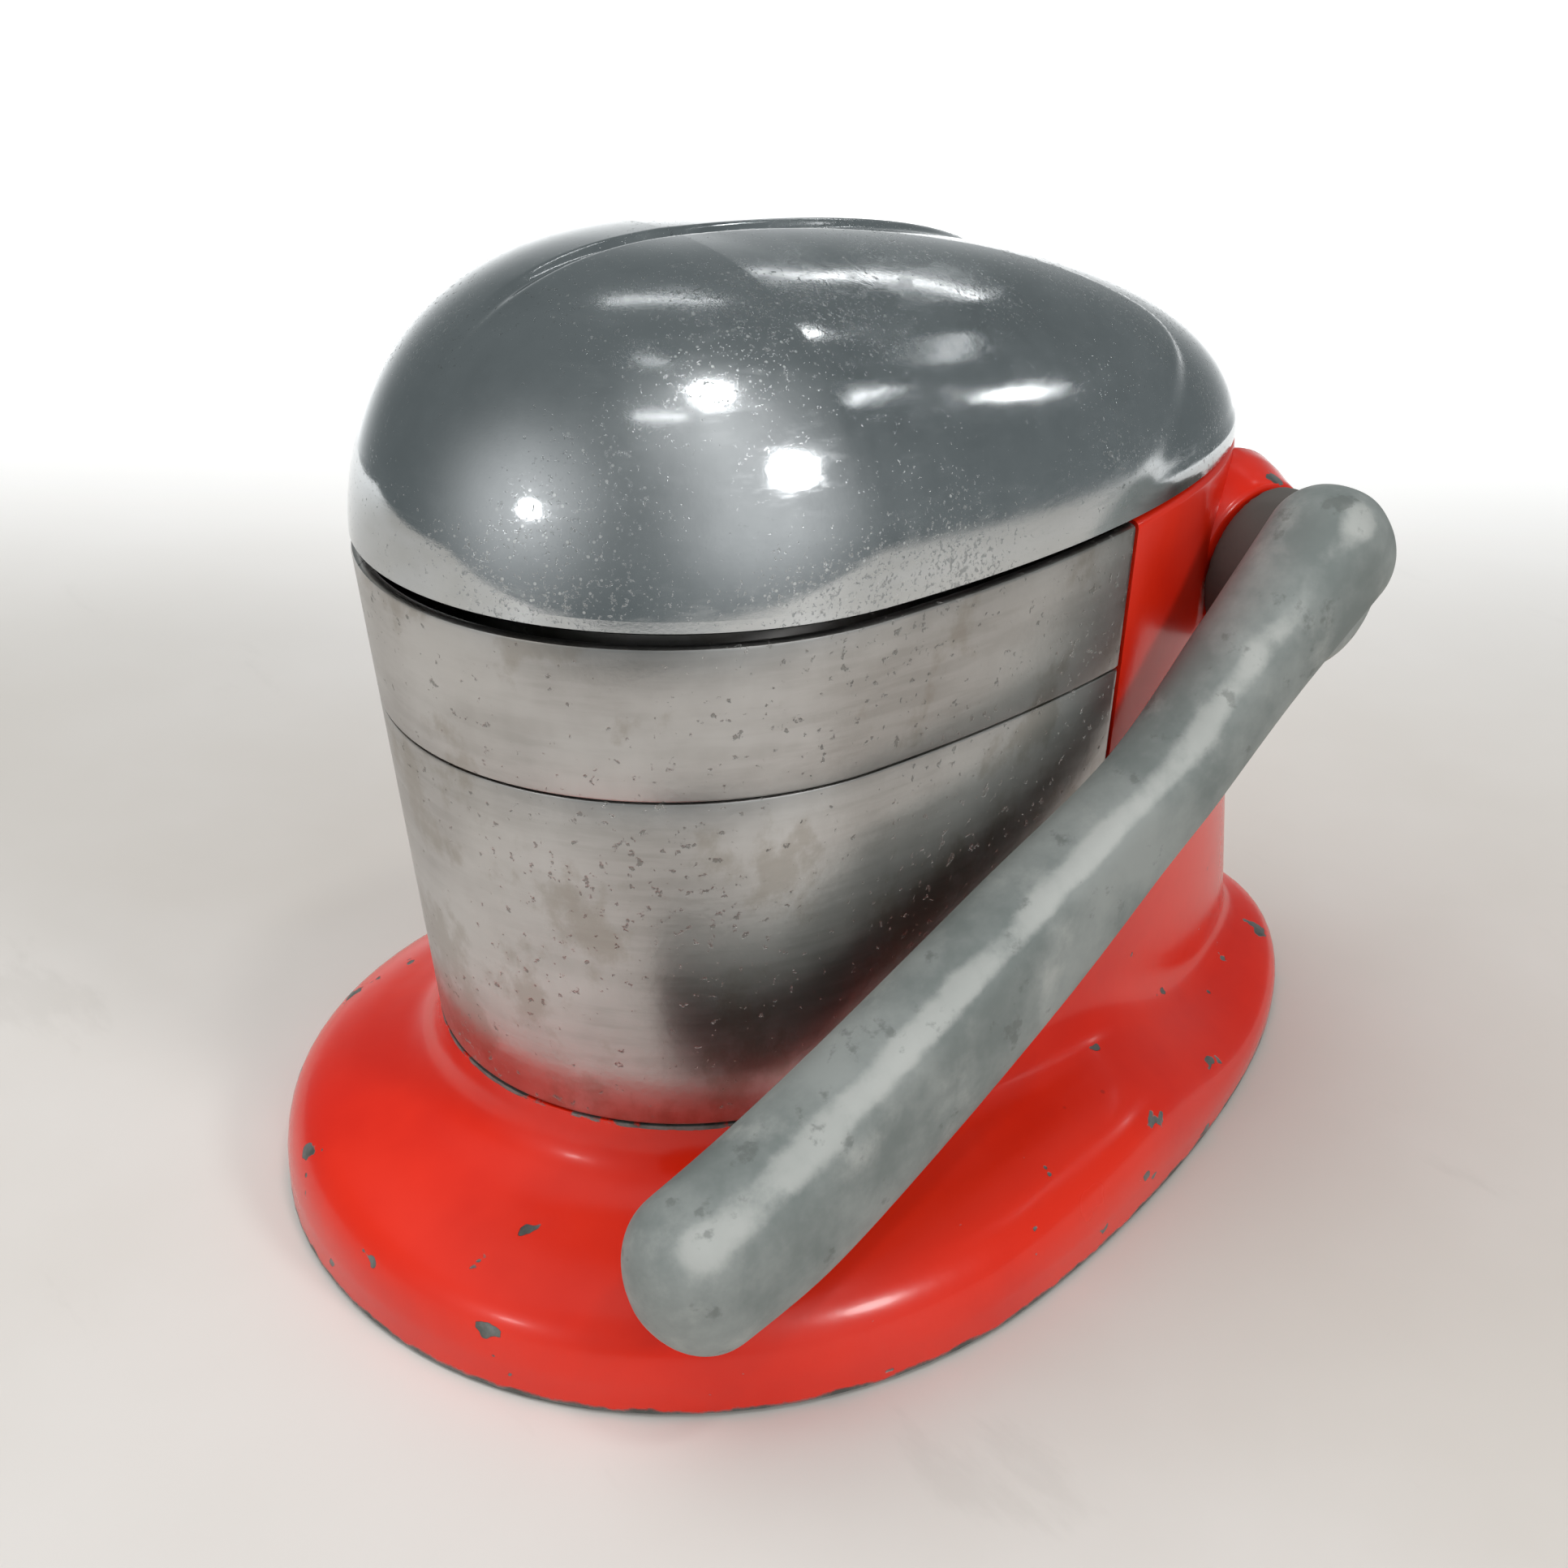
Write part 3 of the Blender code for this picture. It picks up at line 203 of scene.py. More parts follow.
# where each bright part of the room lies, how tightly it is gathered, and its brightness
BRIGHT_PARTS = [((0.97, 0.00, 0.25), 9, 0.60), ((0.62, -0.05, 0.78), 14, 0.50),
                ((0.10, -0.96, 0.26), 9, 0.60), ((-0.83, 0.55, -0.42), 9, 2.80)]


def sky_sum(kind, operation, first, second, out=0):
    """A sum in the room's light. The first term is a socket, and the second is a plain value."""
    made = sky.nodes.new("ShaderNode" + kind)
    made.operation = operation
    made.inputs[1].default_value = second
    sky.links.new(first, made.inputs[0])
    return made.outputs[out]


glow = None
for toward, gather, strength in BRIGHT_PARTS:
    facing = sky_sum("VectorMath", "DOT_PRODUCT", ray, Vector(toward).normalized(), "Value")
    ahead = sky_sum("Math", "MAXIMUM", facing, 0)
    bright = sky_sum("Math", "MULTIPLY", sky_sum("Math", "POWER", ahead, gather), strength)
    added = sky.nodes.new("ShaderNodeMix")
    added.data_type = "RGBA"
    added.blend_type = "ADD"
    added.inputs[0].default_value = 1
    added.inputs[6].default_value = ROOM
    if glow:
        sky.links.new(glow, added.inputs[6])
    sky.links.new(bright, added.inputs[7])
    glow = added.outputs[2]
sky.links.new(glow, sky.nodes["Background"].inputs["Color"])

LAMP_DISTANCE = 1.70
LID_MIDDLE = Vector((0.03, -0.04, 0.165))
# where each lamp hangs from the lid, its width and height, and its power
LAMPS = {"key_lamp": ((0.86, 0.18, 0.47), 0.38, 0.34, 8.0),
         "high_lamp": ((0.41, 0.00, 0.91), 0.21, 0.16, 2.8),
         "rear_lamp": ((0.27, 0.86, 0.44), 0.05, 0.08, 0.34),
         "front_lamp": ((0.16, -0.96, 0.24), 0.20, 0.14, 1.4),
         "rear_high_lamp": ((-0.07, 0.69, 0.72), 0.06, 0.06, 0.16),
         "tube_1": ((-0.42, 0.27, 0.87), 0.60, 0.020, 0.28),
         "tube_2": ((0.05, -0.09, 0.99), 0.24, 0.016, 0.07),
         "tube_3": ((0.43, -0.31, 0.85), 0.44, 0.020, 0.22),
         "tube_4": ((-0.44, 0.74, 0.51), 0.60, 0.026, 0.24),
         "tube_5": ((0.02, 0.81, 0.58), 0.30, 0.020, 0.06),
         "tube_6": ((0.36, 0.71, 0.60), 0.26, 0.016, 0.12),
         "ceiling": ((-0.25, -0.35, 0.90), 2.40, 2.40, 27.0)}
for name, (toward, width, height, power) in LAMPS.items():
    toward = Vector(toward).normalized()
    bpy.ops.object.light_add(type="AREA", location=LID_MIDDLE + toward * LAMP_DISTANCE)
    lamp = bpy.context.active_object
    lamp.name = name
    lamp.rotation_euler = toward.to_track_quat("Z", "Y").to_euler()
    lamp.data.shape = "ELLIPSE" if height > 0.05 else "RECTANGLE"
    lamp.data.size = width
    lamp.data.size_y = height
    lamp.data.energy = power
    lamp.visible_camera = False
    lamp.visible_glossy = name != "ceiling"

# ---- base casting ----
# One casting in red enamel: a low flared foot, a deck that the cup stands on and a hollow column
# with bosses for the shaft. The enamel is chipped, and the rim and the deck's edge are worn bare.
CUP_Y = -0.04045
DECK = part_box("juice_cup")[0].z - 0.0003
COLUMN_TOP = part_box("base_casting")[1].z
RING_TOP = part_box("strainer_ring")[1].z
SHAFT_Y = (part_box("right_shaft_bush")[0].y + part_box("right_shaft_bush")[1].y) / 2
SHAFT_Z = (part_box("right_shaft_bush")[0].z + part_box("right_shaft_bush")[1].z) / 2
CAST_WALL = 0.0030

# the cup, ring and column widen from the deck to the top: sizes low down and high up
STACK_LOW = 0.0377
STACK_HIGH = 0.1328
COLUMN_HIGH = 0.1330
HALF_WIDTH = (0.0466, 0.0530)
FRONT_REACH = (0.0480, 0.0593)
CORNER_HALF_WIDTH = (0.0445, 0.0460)
REAR_REACH = (0.1450, 0.1265)

COLUMN_FRONT = 0.0628
COLUMN_MIDDLE = 0.09
COLUMN_ROOF = 0.004
FRONT_WEB = 0.004
HOLLOW_START = 0.020
BORE_RADIUS = 0.0088
OPENING_HALF_WIDTH = 0.0165
OPENING_FRONT = 0.0705
OPENING_REAR = 0.1055

FOOT_HALF_WIDTH = 0.0797
FOOT_FRONT = 0.0874
FOOT_REAR = 0.1503
FOOT_WIDEST = 0.0090
FOOT_FULLNESS = 0.96
FOOT_BOTTOM = 0.0010
REAR_NECK = 0.0180
NECK_FALL = 0.0552
# side of the foot from the rim to the neck: share of the way out, and share of the neck's height
FOOT_PROFILE = [(1, 0.08), (1, 0.19), (0.972, 0.32), (0.905, 0.42), (0.79, 0.50), (0.61, 0.565),
                (0.40, 0.615), (0.22, 0.665), (0.09, 0.75), (0.02, 0.86), (0, 1)]
FRONT_STEPS = 22
SIDE_STEPS = 10
REAR_STEPS = 24


def between(a, b, share):
    return a + (b - a) * share


def ease(share):
    share = min(max(share, 0), 1)
    return share * share * (3 - 2 * share)


def wrap(name, rows):
    """A grid wrapped into a skin: each row is one ring of points, and its ends meet."""
    around = len(rows[0])
    bpy.ops.object.select_all(action="DESELECT")
    bpy.ops.mesh.primitive_grid_add(x_subdivisions=around, y_subdivisions=len(rows) - 1)
    piece = bpy.context.active_object
    piece.name = name
    for row, ring in enumerate(rows):
        for column in range(around + 1):
            piece.data.vertices[row * (around + 1) + column].co = ring[column % around]
    bpy.ops.object.mode_set(mode="EDIT")
    bpy.ops.mesh.select_all(action="SELECT")
    bpy.ops.mesh.remove_doubles(threshold=0.000001)
    bpy.ops.mesh.normals_make_consistent(inside=False)
    bpy.ops.object.mode_set(mode="OBJECT")
    return piece


def point_row(place, like):
    return [place] * len(like)


def boolean(piece, tool, operation):
    """Cuts or joins a tool, which is then removed."""
    step = piece.modifiers.new(tool.name, "BOOLEAN")
    step.operation = operation
    step.solver = "EXACT"
    step.object = tool
    bpy.ops.object.select_all(action="DESELECT")
    bpy.context.view_layer.objects.active = piece
    bpy.ops.object.modifier_apply(modifier=step.name)
    bpy.data.objects.remove(tool)


def smooth(piece, degrees):
    bpy.ops.object.select_all(action="DESELECT")
    piece.select_set(True)
    bpy.context.view_layer.objects.active = piece
    bpy.ops.object.shade_smooth_by_angle(angle=math.radians(degrees))


def stack_sizes(z):
    """Half width, front reach and corner half width of the cup, ring and column at a height."""
    share = (z - STACK_LOW) / (STACK_HIGH - STACK_LOW)
    return between(*HALF_WIDTH, share), between(*FRONT_REACH, share), between(*CORNER_HALF_WIDTH, share)


def side_width(z, y):
    width, _, corner = stack_sizes(z)
    reach = COLUMN_FRONT / math.sqrt(1 - (corner / width) ** 2)
    return width * math.sqrt(1 - (y / reach) ** 2)


def column_rear(z):
    return between(*REAR_REACH, (z - STACK_LOW) / (COLUMN_HIGH - STACK_LOW))


def column_width(z, y):
    rear = column_rear(z)
    full = stack_sizes(z)[2] / math.sqrt(1 - (COLUMN_FRONT / rear) ** 2)
    return full * math.sqrt(max(1 - (y / rear) ** 2, 0))


def whole(half):
    """An outline from its right half, which runs from the front on the centre line to the back."""
    return half + [(-x, y) for x, y in reversed(half) if abs(x) > 0.000001]


def raised(outline, z):
    return [(x, CUP_Y + y, z) for x, y in outline]


def neck_outline(z, inset):
    width, front, _ = stack_sizes(z)
    half = []
    for i in range(FRONT_STEPS + 1):
        angle = math.pi / 2 * i / FRONT_STEPS
        half.append(((width - inset) * math.sin(angle), -(front - inset) * math.cos(angle)))
    for i in range(1, SIDE_STEPS + 1):
        y = COLUMN_FRONT * i / SIDE_STEPS
        half.append((side_width(z, y) - inset, y))
    rear = column_rear(z)
    start = math.asin(COLUMN_FRONT / rear)
    for i in range(1, REAR_STEPS + 1):
        angle = between(start, math.pi / 2, i / REAR_STEPS)
        y = rear * math.sin(angle)
        x = max(column_width(z, y) - inset * math.cos(angle) * 1.2, 0)
        half.append((x, y - inset * math.sin(angle)))
    half[-1] = (0, half[-1][1])
    return whole(half)


def foot_outline(inset):
    """Egg-shaped outline of the rim, point for point with the neck's."""
    width = FOOT_HALF_WIDTH - inset
    front = FOOT_FRONT - inset
    side_pull = 0.20
    rear_pull = 0.66
    half = []
    for i in range(FRONT_STEPS + 1):
        angle = math.pi / 2 * i / FRONT_STEPS
        half.append((width * math.sin(angle) ** FOOT_FULLNESS,
                     FOOT_WIDEST - front * abs(math.cos(angle)) ** FOOT_FULLNESS))
    steps = SIDE_STEPS + REAR_STEPS
    for i in range(1, steps + 1):
        t = i / steps
        s = 1 - t
        x = s**3 * width + 3 * s * s * t * width + 3 * s * t * t * rear_pull * width
        y = 3 * s * s * t * side_pull * FOOT_REAR + (3 * s * t * t + t**3) * (FOOT_REAR - inset)
        half.append((x, FOOT_WIDEST + y))
    half[-1] = (0, half[-1][1])
    return whole(half)


def flowing(points, position):
    """A smooth curve through points that are listed with all their numbers."""
    index = min(int(position), len(points) - 2)
    t = position - index
    around = [points[min(max(index + k, 0), len(points) - 1)] for k in (-1, 0, 1, 2)]
    return [0.5 * (2 * b + (c - a) * t + (2 * a - 5 * b + 4 * c - d) * t * t + (3 * b - a - 3 * c + d) * t**3)
            for a, b, c, d in zip(*around)]


def foot_rows(inset, drop, bottom, steps):
    """Rings up the domed side of the foot, from the rim to the neck."""
    rim = foot_outline(inset)
    high = neck_outline(STACK_LOW, inset)
    low = neck_outline(REAR_NECK, inset)
    rows = [raised(rim, bottom)]
    for i in range(steps + 1):
        out, rise = flowing(FOOT_PROFILE, (len(FOOT_PROFILE) - 1) * i / steps)
        out = min(max(out, 0), 1)
        ring = []
        for (rim_x, rim_y), (x, y), (low_x, low_y) in zip(rim, high, low):
            fall = ease((y - COLUMN_FRONT) / NECK_FALL)
            top_z = between(DECK, REAR_NECK, fall)
            ring.append((between(between(x, low_x, fall), rim_x, out),
                         CUP_Y + between(between(y, low_y, fall), rim_y, out), rise * top_z - drop))
        rows.append(ring)
    return rows


def turned_rows(profile, x_from, direction, steps=72):
    """Rings of a turned form round the shaft's axis: (radius, distance along it) pairs."""
    rows = []
    for radius, distance in profile:
        rows.append([(x_from + direction * distance,
                      SHAFT_Y + radius * math.cos(2 * math.pi * i / steps),
                      SHAFT_Z + radius * math.sin(2 * math.pi * i / steps)) for i in range(steps)])
    return rows


def slab(name, low, high):
    bpy.ops.object.select_all(action="DESELECT")
    bpy.ops.mesh.primitive_cube_add(size=1)
    piece = bpy.context.active_object
    piece.name = name
    piece.data.transform(Matrix.Diagonal((*(Vector(high) - Vector(low)), 1)))
    piece.data.transform(Matrix.Translation((Vector(high) + Vector(low)) / 2))
    return piece


casting_rows = foot_rows(0, 0, FOOT_BOTTOM, 50)
bottom_row = raised(foot_outline(0), FOOT_BOTTOM)
for i in range(1, 13):
    height = between(DECK, COLUMN_TOP - 0.0012, (i / 12) ** 1.1)
    casting_rows.append(raised(neck_outline(height, 0), height))
for inset, drop in ((0.0002, 0.0006), (0.0006, 0.0002), (0.0012, 0.0)):
    casting_rows.append(raised(neck_outline(COLUMN_TOP - drop, inset), COLUMN_TOP - drop))
casting_rows.insert(0, point_row((0, 0, FOOT_BOTTOM), bottom_row))
casting_rows.append(point_row((0, CUP_Y + COLUMN_MIDDLE, COLUMN_TOP), bottom_row))
casting = wrap("red_casting", casting_rows)
boolean(casting, slab("cup_seat", (-0.08, CUP_Y - 0.10, DECK), (0.08, CUP_Y + COLUMN_FRONT, 0.16)),
        "DIFFERENCE")
hollow_rows = foot_rows(CAST_WALL, CAST_WALL, -0.002, 20)
hollow_rows.insert(0, point_row((0, 0, -0.002), bottom_row))
hollow_rows.append(raised(neck_outline(STACK_LOW, CAST_WALL + 0.002), DECK - CAST_WALL))
hollow_rows.append(point_row((0, 0, DECK - CAST_WALL), bottom_row))
boolean(casting, wrap("foot_hollow", hollow_rows), "DIFFERENCE")

column_rows = []
for height in (HOLLOW_START, 0.060, 0.095, COLUMN_TOP - COLUMN_ROOF):
    half = [(0, COLUMN_FRONT + FRONT_WEB)]
    start = math.asin((COLUMN_FRONT + FRONT_WEB) / column_rear(height))
    for i in range(REAR_STEPS + 1):
        angle = between(start, math.pi / 2, i / REAR_STEPS)
        y = column_rear(height) * math.sin(angle)
        half.append((max(column_width(height, y) - CAST_WALL * (1 + 0.2 * math.cos(angle)), 0),
                     y - CAST_WALL * (i / REAR_STEPS) ** 2))
    half[-1] = (0, half[-1][1])
    column_rows.append(raised(whole(half), height))
column_rows.insert(0, point_row((0, CUP_Y + COLUMN_MIDDLE, HOLLOW_START), column_rows[0]))
column_rows.append(point_row((0, CUP_Y + COLUMN_MIDDLE, COLUMN_TOP - COLUMN_ROOF), column_rows[0]))
boolean(casting, wrap("column_hollow", column_rows), "DIFFERENCE")

BOSS_START = 0.0160
BOSS_LENGTH = 0.0195
boss_profile = [(0, 0), (0.0120, 0), (0.0200, BOSS_LENGTH - 0.0120), (0.0202, BOSS_LENGTH - 0.0105),
                (0.0190, BOSS_LENGTH - 0.0070), (0.0178, BOSS_LENGTH - 0.0045),
                (0.0170, BOSS_LENGTH - 0.0024), (0.0165, BOSS_LENGTH - 0.0010),
                (0.0160, BOSS_LENGTH - 0.0003), (0.0153, BOSS_LENGTH), (0, BOSS_LENGTH)]
for side in (1, -1):
    boolean(casting, wrap("boss", turned_rows(boss_profile, side * BOSS_START, side)), "UNION")
bore = wrap("bore", turned_rows([(0, 0), (BORE_RADIUS, 0), (BORE_RADIUS, 0.10), (0, 0.10)], -0.05, 1))
boolean(casting, bore, "DIFFERENCE")
boolean(casting, slab("post_opening", (-OPENING_HALF_WIDTH, CUP_Y + OPENING_FRONT, COLUMN_TOP - 0.010),
                      (OPENING_HALF_WIDTH, CUP_Y + OPENING_REAR, COLUMN_TOP + 0.010)), "DIFFERENCE")
smooth(casting, 32)

enamel = Finish("red_enamel", (0.76, 0.022, 0.007), 0.24, 0.0)
enamel.put(enamel.surface, {"Coat Roughness": 0.10, "Specular IOR Level": 0.40})
height = enamel.along(2)
patch = enamel.cloud(7, 2, 0.5, enamel.stretched((1, 1, 1), (0.31, 0.12, 0)))
ragged = enamel.cloud(150, 5, 0.62)
flake = enamel.cloud(95, 3, 0.5, enamel.stretched((1, 1, 1.4), (0.2, 0.7, 0.1)))
low_part = 1 - height.step(0.006, 0.034)
chip = (flake + 0.16 * patch * low_part + 0.05 * ragged).step(0.755, 0.765)
rim_wear = (height + (ragged - 0.5) * 0.0030).step(0.0012, 0.0019)
deck_edge = height.step(DECK - 0.0016, DECK - 0.0004) * (1 - height.step(DECK + 0.0004, DECK + 0.0012))
deck_edge = deck_edge * (1 - enamel.along(1).step(0.0200, 0.0215))
deck_wear = (deck_edge * (ragged + flake * 0.6)).step(0.70, 0.78)
bare = enamel.node("Math", {"operation": "MAXIMUM"}, {0: chip, 1: deck_wear})
bare = enamel.node("Math", {"operation": "MAXIMUM", "use_clamp": True}, {0: bare, 1: 1 - rim_wear})
tone = enamel.cloud(22, 4)
red = enamel.mix(tone.step(0.3, 0.7), (0.69, 0.015, 0.003), (0.80, 0.024, 0.005))
red = enamel.mix(enamel.specks(70, 0.05) * 0.5, red, (0.30, 0.015, 0.010))
metal_tone = enamel.mix(ragged.step(0.35, 0.65), (0.12, 0.13, 0.12), (0.26, 0.27, 0.26))
enamel.put(enamel.surface, {"Base Color": enamel.mix(bare, red, metal_tone),
                            "Roughness": 0.20 + 0.10 * tone + 0.22 * bare,
                            "Metallic": 0.7 * bare, "Coat Weight": 0.18 - 0.18 * bare})
enamel.relief(0.30 * enamel.cloud(260, 2) + 0.5 * tone - 1.1 * bare, 0.00016)
enamel.on(casting)
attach(casting, "base")
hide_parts("base_casting")

# ---- rubber feet ----
# Four black rubber pads under the rim, held by their stems. They are dull and have gone grey with
# dust.
rubber = Finish("foot_rubber", (0.02, 0.02, 0.02), 0.75, 0.0)
dust = rubber.cloud(300, 4)
black = rubber.mix(dust.step(0.45, 0.7), (0.016, 0.016, 0.016), (0.06, 0.055, 0.05))
rubber.put(rubber.surface, {"Base Color": black, "Roughness": 0.62 + 0.25 * dust})
rubber.relief(dust, 0.0001)
dress(rubber, "rubber_foot_1", "rubber_foot_2", "rubber_foot_3", "rubber_foot_4")

# ---- bronze pieces ----
# Sintered bushes in the bosses, the thrust washer behind the hub and the block that guides the post,
# all brown and a little oily.
bronze = Finish("oiled_bronze", (0.42, 0.27, 0.12), 0.4, 1.0)
tarnish = bronze.cloud(120, 5)
brown = bronze.mix(tarnish.step(0.35, 0.65), (0.30, 0.18, 0.08), (0.50, 0.33, 0.16))
bronze.put(bronze.surface, {"Base Color": brown, "Roughness": 0.28 + 0.25 * tarnish})
bronze.relief(bronze.cloud(900, 2), 0.00003)
dress(bronze, "right_shaft_bush", "left_shaft_bush", "post_guide", "thrust_washer")

# ---- steel pieces ----
# The shaft, pinion, rack post, cam, bracket, pins and screws are plain steel, machined and a little
# dulled, with brown spots where juice has reached them.
steel = Finish("plain_steel", (0.45, 0.45, 0.46), 0.35, 1.0)
turning = steel.cloud(60, 6, 0.6, steel.stretched((1, 14, 14)))
spots = steel.cloud(240, 4)
steel_colour = steel.mix(turning.step(0.35, 0.65), (0.36, 0.36, 0.365), (0.52, 0.52, 0.525))
steel_colour = steel.mix(spots.step(0.60, 0.68) * 0.6, steel_colour, (0.16, 0.10, 0.06))
steel.put(steel.surface, {"Base Color": steel_colour, "Roughness": 0.24 + 0.22 * turning})
steel.relief(turning, 0.00003)
dress(steel, "handle_shaft", "drive_pinion", "pinion_pin", "handle_set_screw", "end_cap_screw",
      "guide_screw_1", "guide_screw_2", "tilt_cam", "cam_screw_1", "cam_screw_2", "lift_post",
      "lid_hinge_pin", "lid_bracket", "lid_screw_1", "lid_screw_2", "lid_screw_3", "press_cup_screw",
      "press_cup_nut", "tilt_roller_left", "tilt_roller_right")

# ---- juice cup ----
# A tapered cup of cast aluminium, polished to a satin outside, that stands on the deck with its flat
# side against the column. Juice has stained and pitted it.
SEAM = (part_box("juice_cup")[1].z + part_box("strainer_ring")[0].z + 0.004) / 2
CUP_WALL = 0.0022
CORNER = 0.0016


def stack_outline(z, inset):
    """Outline of the cup and ring: a rounded nose, long sides and a flat side with small corners."""
    width, front, _ = stack_sizes(z)
    flat = COLUMN_FRONT - 0.0003 - inset
    half = []
    for i in range(FRONT_STEPS * 2 + 1):
        angle = math.pi / 4 * i / FRONT_STEPS
        half.append(((width - inset) * math.sin(angle), -(front - inset) * math.cos(angle)))
    for i in range(1, SIDE_STEPS + 1):
        y = (flat - CORNER) * i / SIDE_STEPS
        half.append((side_width(z, y) - inset, y))
    edge = half[-1][0]
    for degrees in (30, 60, 90):
        angle = math.radians(degrees)
        half.append((edge - CORNER * (1 - math.cos(angle)), flat - CORNER * (1 - math.sin(angle))))
    for i in range(1, 7):
        half.append(((edge - CORNER) * (1 - i / 6), flat))
    half[-1] = (0, flat)
    return whole(half)


def stack_rows(levels):
    """Rings of the cup or ring from (height, inset) pairs."""
    return [raised(stack_outline(z, inset), z) for z, inset in levels]


cup_low = DECK + 0.0003
cup_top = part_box("juice_cup")[1].z
cup_levels = [(cup_low + CUP_WALL, 0.0085), (cup_low + CUP_WALL + 0.0006, 0.0062),
              (cup_low + CUP_WALL + 0.002, 0.0042), (cup_low + CUP_WALL + 0.004, 0.0030),
              (cup_low + CUP_WALL + 0.008, CUP_WALL)]
cup_levels += [(cup_top - 0.0006, CUP_WALL), (cup_top - 0.0001, CUP_WALL - 0.0004),
               (cup_top, CUP_WALL - 0.0008), (cup_top, 0.0005), (cup_top - 0.0001, 0.0002),
               (cup_top - 0.0005, 0)]
cup_levels += [(between(cup_top - 0.0005, cup_low + 0.0008, i / 6), 0) for i in range(1, 7)]
cup_levels += [(cup_low + 0.0002, 0.0002), (cup_low, 0.0009)]
cup_rows = stack_rows(cup_levels)
cup_rows.insert(0, point_row((0, CUP_Y, cup_low + CUP_WALL), cup_rows[0]))
cup_rows.append(point_row((0, CUP_Y, cup_low), cup_rows[0]))
cup = wrap("satin_cup", cup_rows)
smooth(cup, 40)

satin = Finish("satin_aluminium", (0.52, 0.50, 0.48), 0.4, 1.0)
brushing = satin.cloud(40, 6, 0.6, satin.stretched((1, 1, 9)))
cloudy = satin.cloud(24, 5)
stain = satin.cloud(42, 7, 0.62, satin.stretched((1, 1, 0.8), (0.4, 0.1, 0.6)))
pit_area = satin.cloud(18, 3, 0.5, satin.stretched((1, 1, 1), (0.7, 0.2, 0.3)))
pits = satin.cloud(560, 6, 0.6) * 0.8 + pit_area * 0.2
skin = satin.mix(cloudy.step(0.35, 0.65), (0.40, 0.385, 0.37), (0.56, 0.55, 0.535))
skin = satin.mix(brushing.step(0.4, 0.6) * 0.25, skin, (0.62, 0.61, 0.60))
skin = satin.mix(stain.step(0.53, 0.62) * 0.45, skin, (0.30, 0.265, 0.22))
dark_pit = pits.step(0.600, 0.645)
skin = satin.mix(dark_pit * 0.45, skin, (0.17, 0.165, 0.14))
satin.put(satin.surface, {"Base Color": skin,
                          "Roughness": 0.24 + 0.12 * cloudy + 0.06 * brushing + 0.2 * dark_pit})
satin.relief(0.25 * brushing + 0.5 * satin.cloud(800, 2) - 1.2 * dark_pit, 0.00006)
satin.on(cup)
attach(cup, "base")
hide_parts("juice_cup")

# ---- strainer ring ----
# A ring of the same satin metal that sits on the cup by a spigot. A ledge inside it carries the
# strainer, and its top edge is rounded under the lid.
RING_WALL = 0.0024
ring_low = SEAM + 0.00015
spigot = CUP_WALL + 0.0003
ledge = spigot + 0.0030
ring_levels = [(ring_low - 0.004, ledge), (ring_low + 0.0012, ledge), (ring_low + 0.0012, RING_WALL),
               (RING_TOP - 0.0008, RING_WALL), (RING_TOP - 0.0002, RING_WALL - 0.0002),
               (RING_TOP, RING_WALL - 0.0008), (RING_TOP, 0.0007), (RING_TOP - 0.0002, 0.0002),
               (RING_TOP - 0.0007, 0)]
ring_levels += [(between(RING_TOP - 0.0007, ring_low + 0.0005, i / 3), 0) for i in range(1, 4)]
ring_levels += [(ring_low + 0.0001, 0.0002), (ring_low, 0.0005), (ring_low, spigot),
                (ring_low - 0.004, spigot)]
ring_rows = stack_rows(ring_levels)
ring = wrap("satin_ring", ring_rows + [ring_rows[0]])
smooth(ring, 40)
satin.on(ring)
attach(ring, "base")
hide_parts("strainer_ring")

# ---- strainer and press cup ----
# The slotted strainer in the ring and the cup that presses the fruit under the lid are pressed from
# the same metal. Their own meshes are welded and shaded smooth.
dress(satin, "strainer_cone", "press_cup")
for inner_name, body in (("strainer_cone", "base"), ("press_cup", "lid")):
    smoothed = nodes[inner_name].copy()
    smoothed.data = nodes[inner_name].data.copy()
    smoothed.name = "smooth_" + inner_name
    bpy.context.scene.collection.objects.link(smoothed)
    bpy.ops.object.select_all(action="DESELECT")
    smoothed.select_set(True)
    bpy.context.view_layer.objects.active = smoothed
    bpy.ops.object.mode_set(mode="EDIT")
    bpy.ops.mesh.select_all(action="SELECT")
    bpy.ops.mesh.remove_doubles(threshold=0.000001)
    bpy.ops.object.mode_set(mode="OBJECT")
    smooth(smoothed, 42)
    satin.on(smoothed)
    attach(smoothed, body)
    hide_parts(inner_name)

# ---- handle ----
# A lever of cast zinc with a round hub on the shaft and a long grip, hollow on its inner side. It was
# never plated, so it is dull and mottled. Its faces that turn up toward the lamps are lightened, partly
# as wear where hands have rubbed it and partly as a painted highlight, and the inner side of the hub
# next to the column is painted dark as shade.
ARM_TIP = 0.0118
ARM_SQUARENESS = 2.5
# the arm from the hub to its tip: middle (x, y behind the cup's middle, z), half thickness, half width
STATIONS = [(0.0570, 0.1030, 0.1226, 0.0115, 0.0119), (0.0575, 0.0830, 0.1052, 0.0101, 0.0107),
            (0.0590, 0.0600, 0.0860, 0.0094, 0.0104), (0.0620, 0.0285, 0.0690, 0.0106, 0.0132),
            (0.0650, -0.0065, 0.0515, 0.0114, 0.0149), (0.0672, -0.0300, 0.0420, 0.0117, 0.0153),
            (0.0680, -0.0470, 0.0366, 0.0115, 0.0147)]


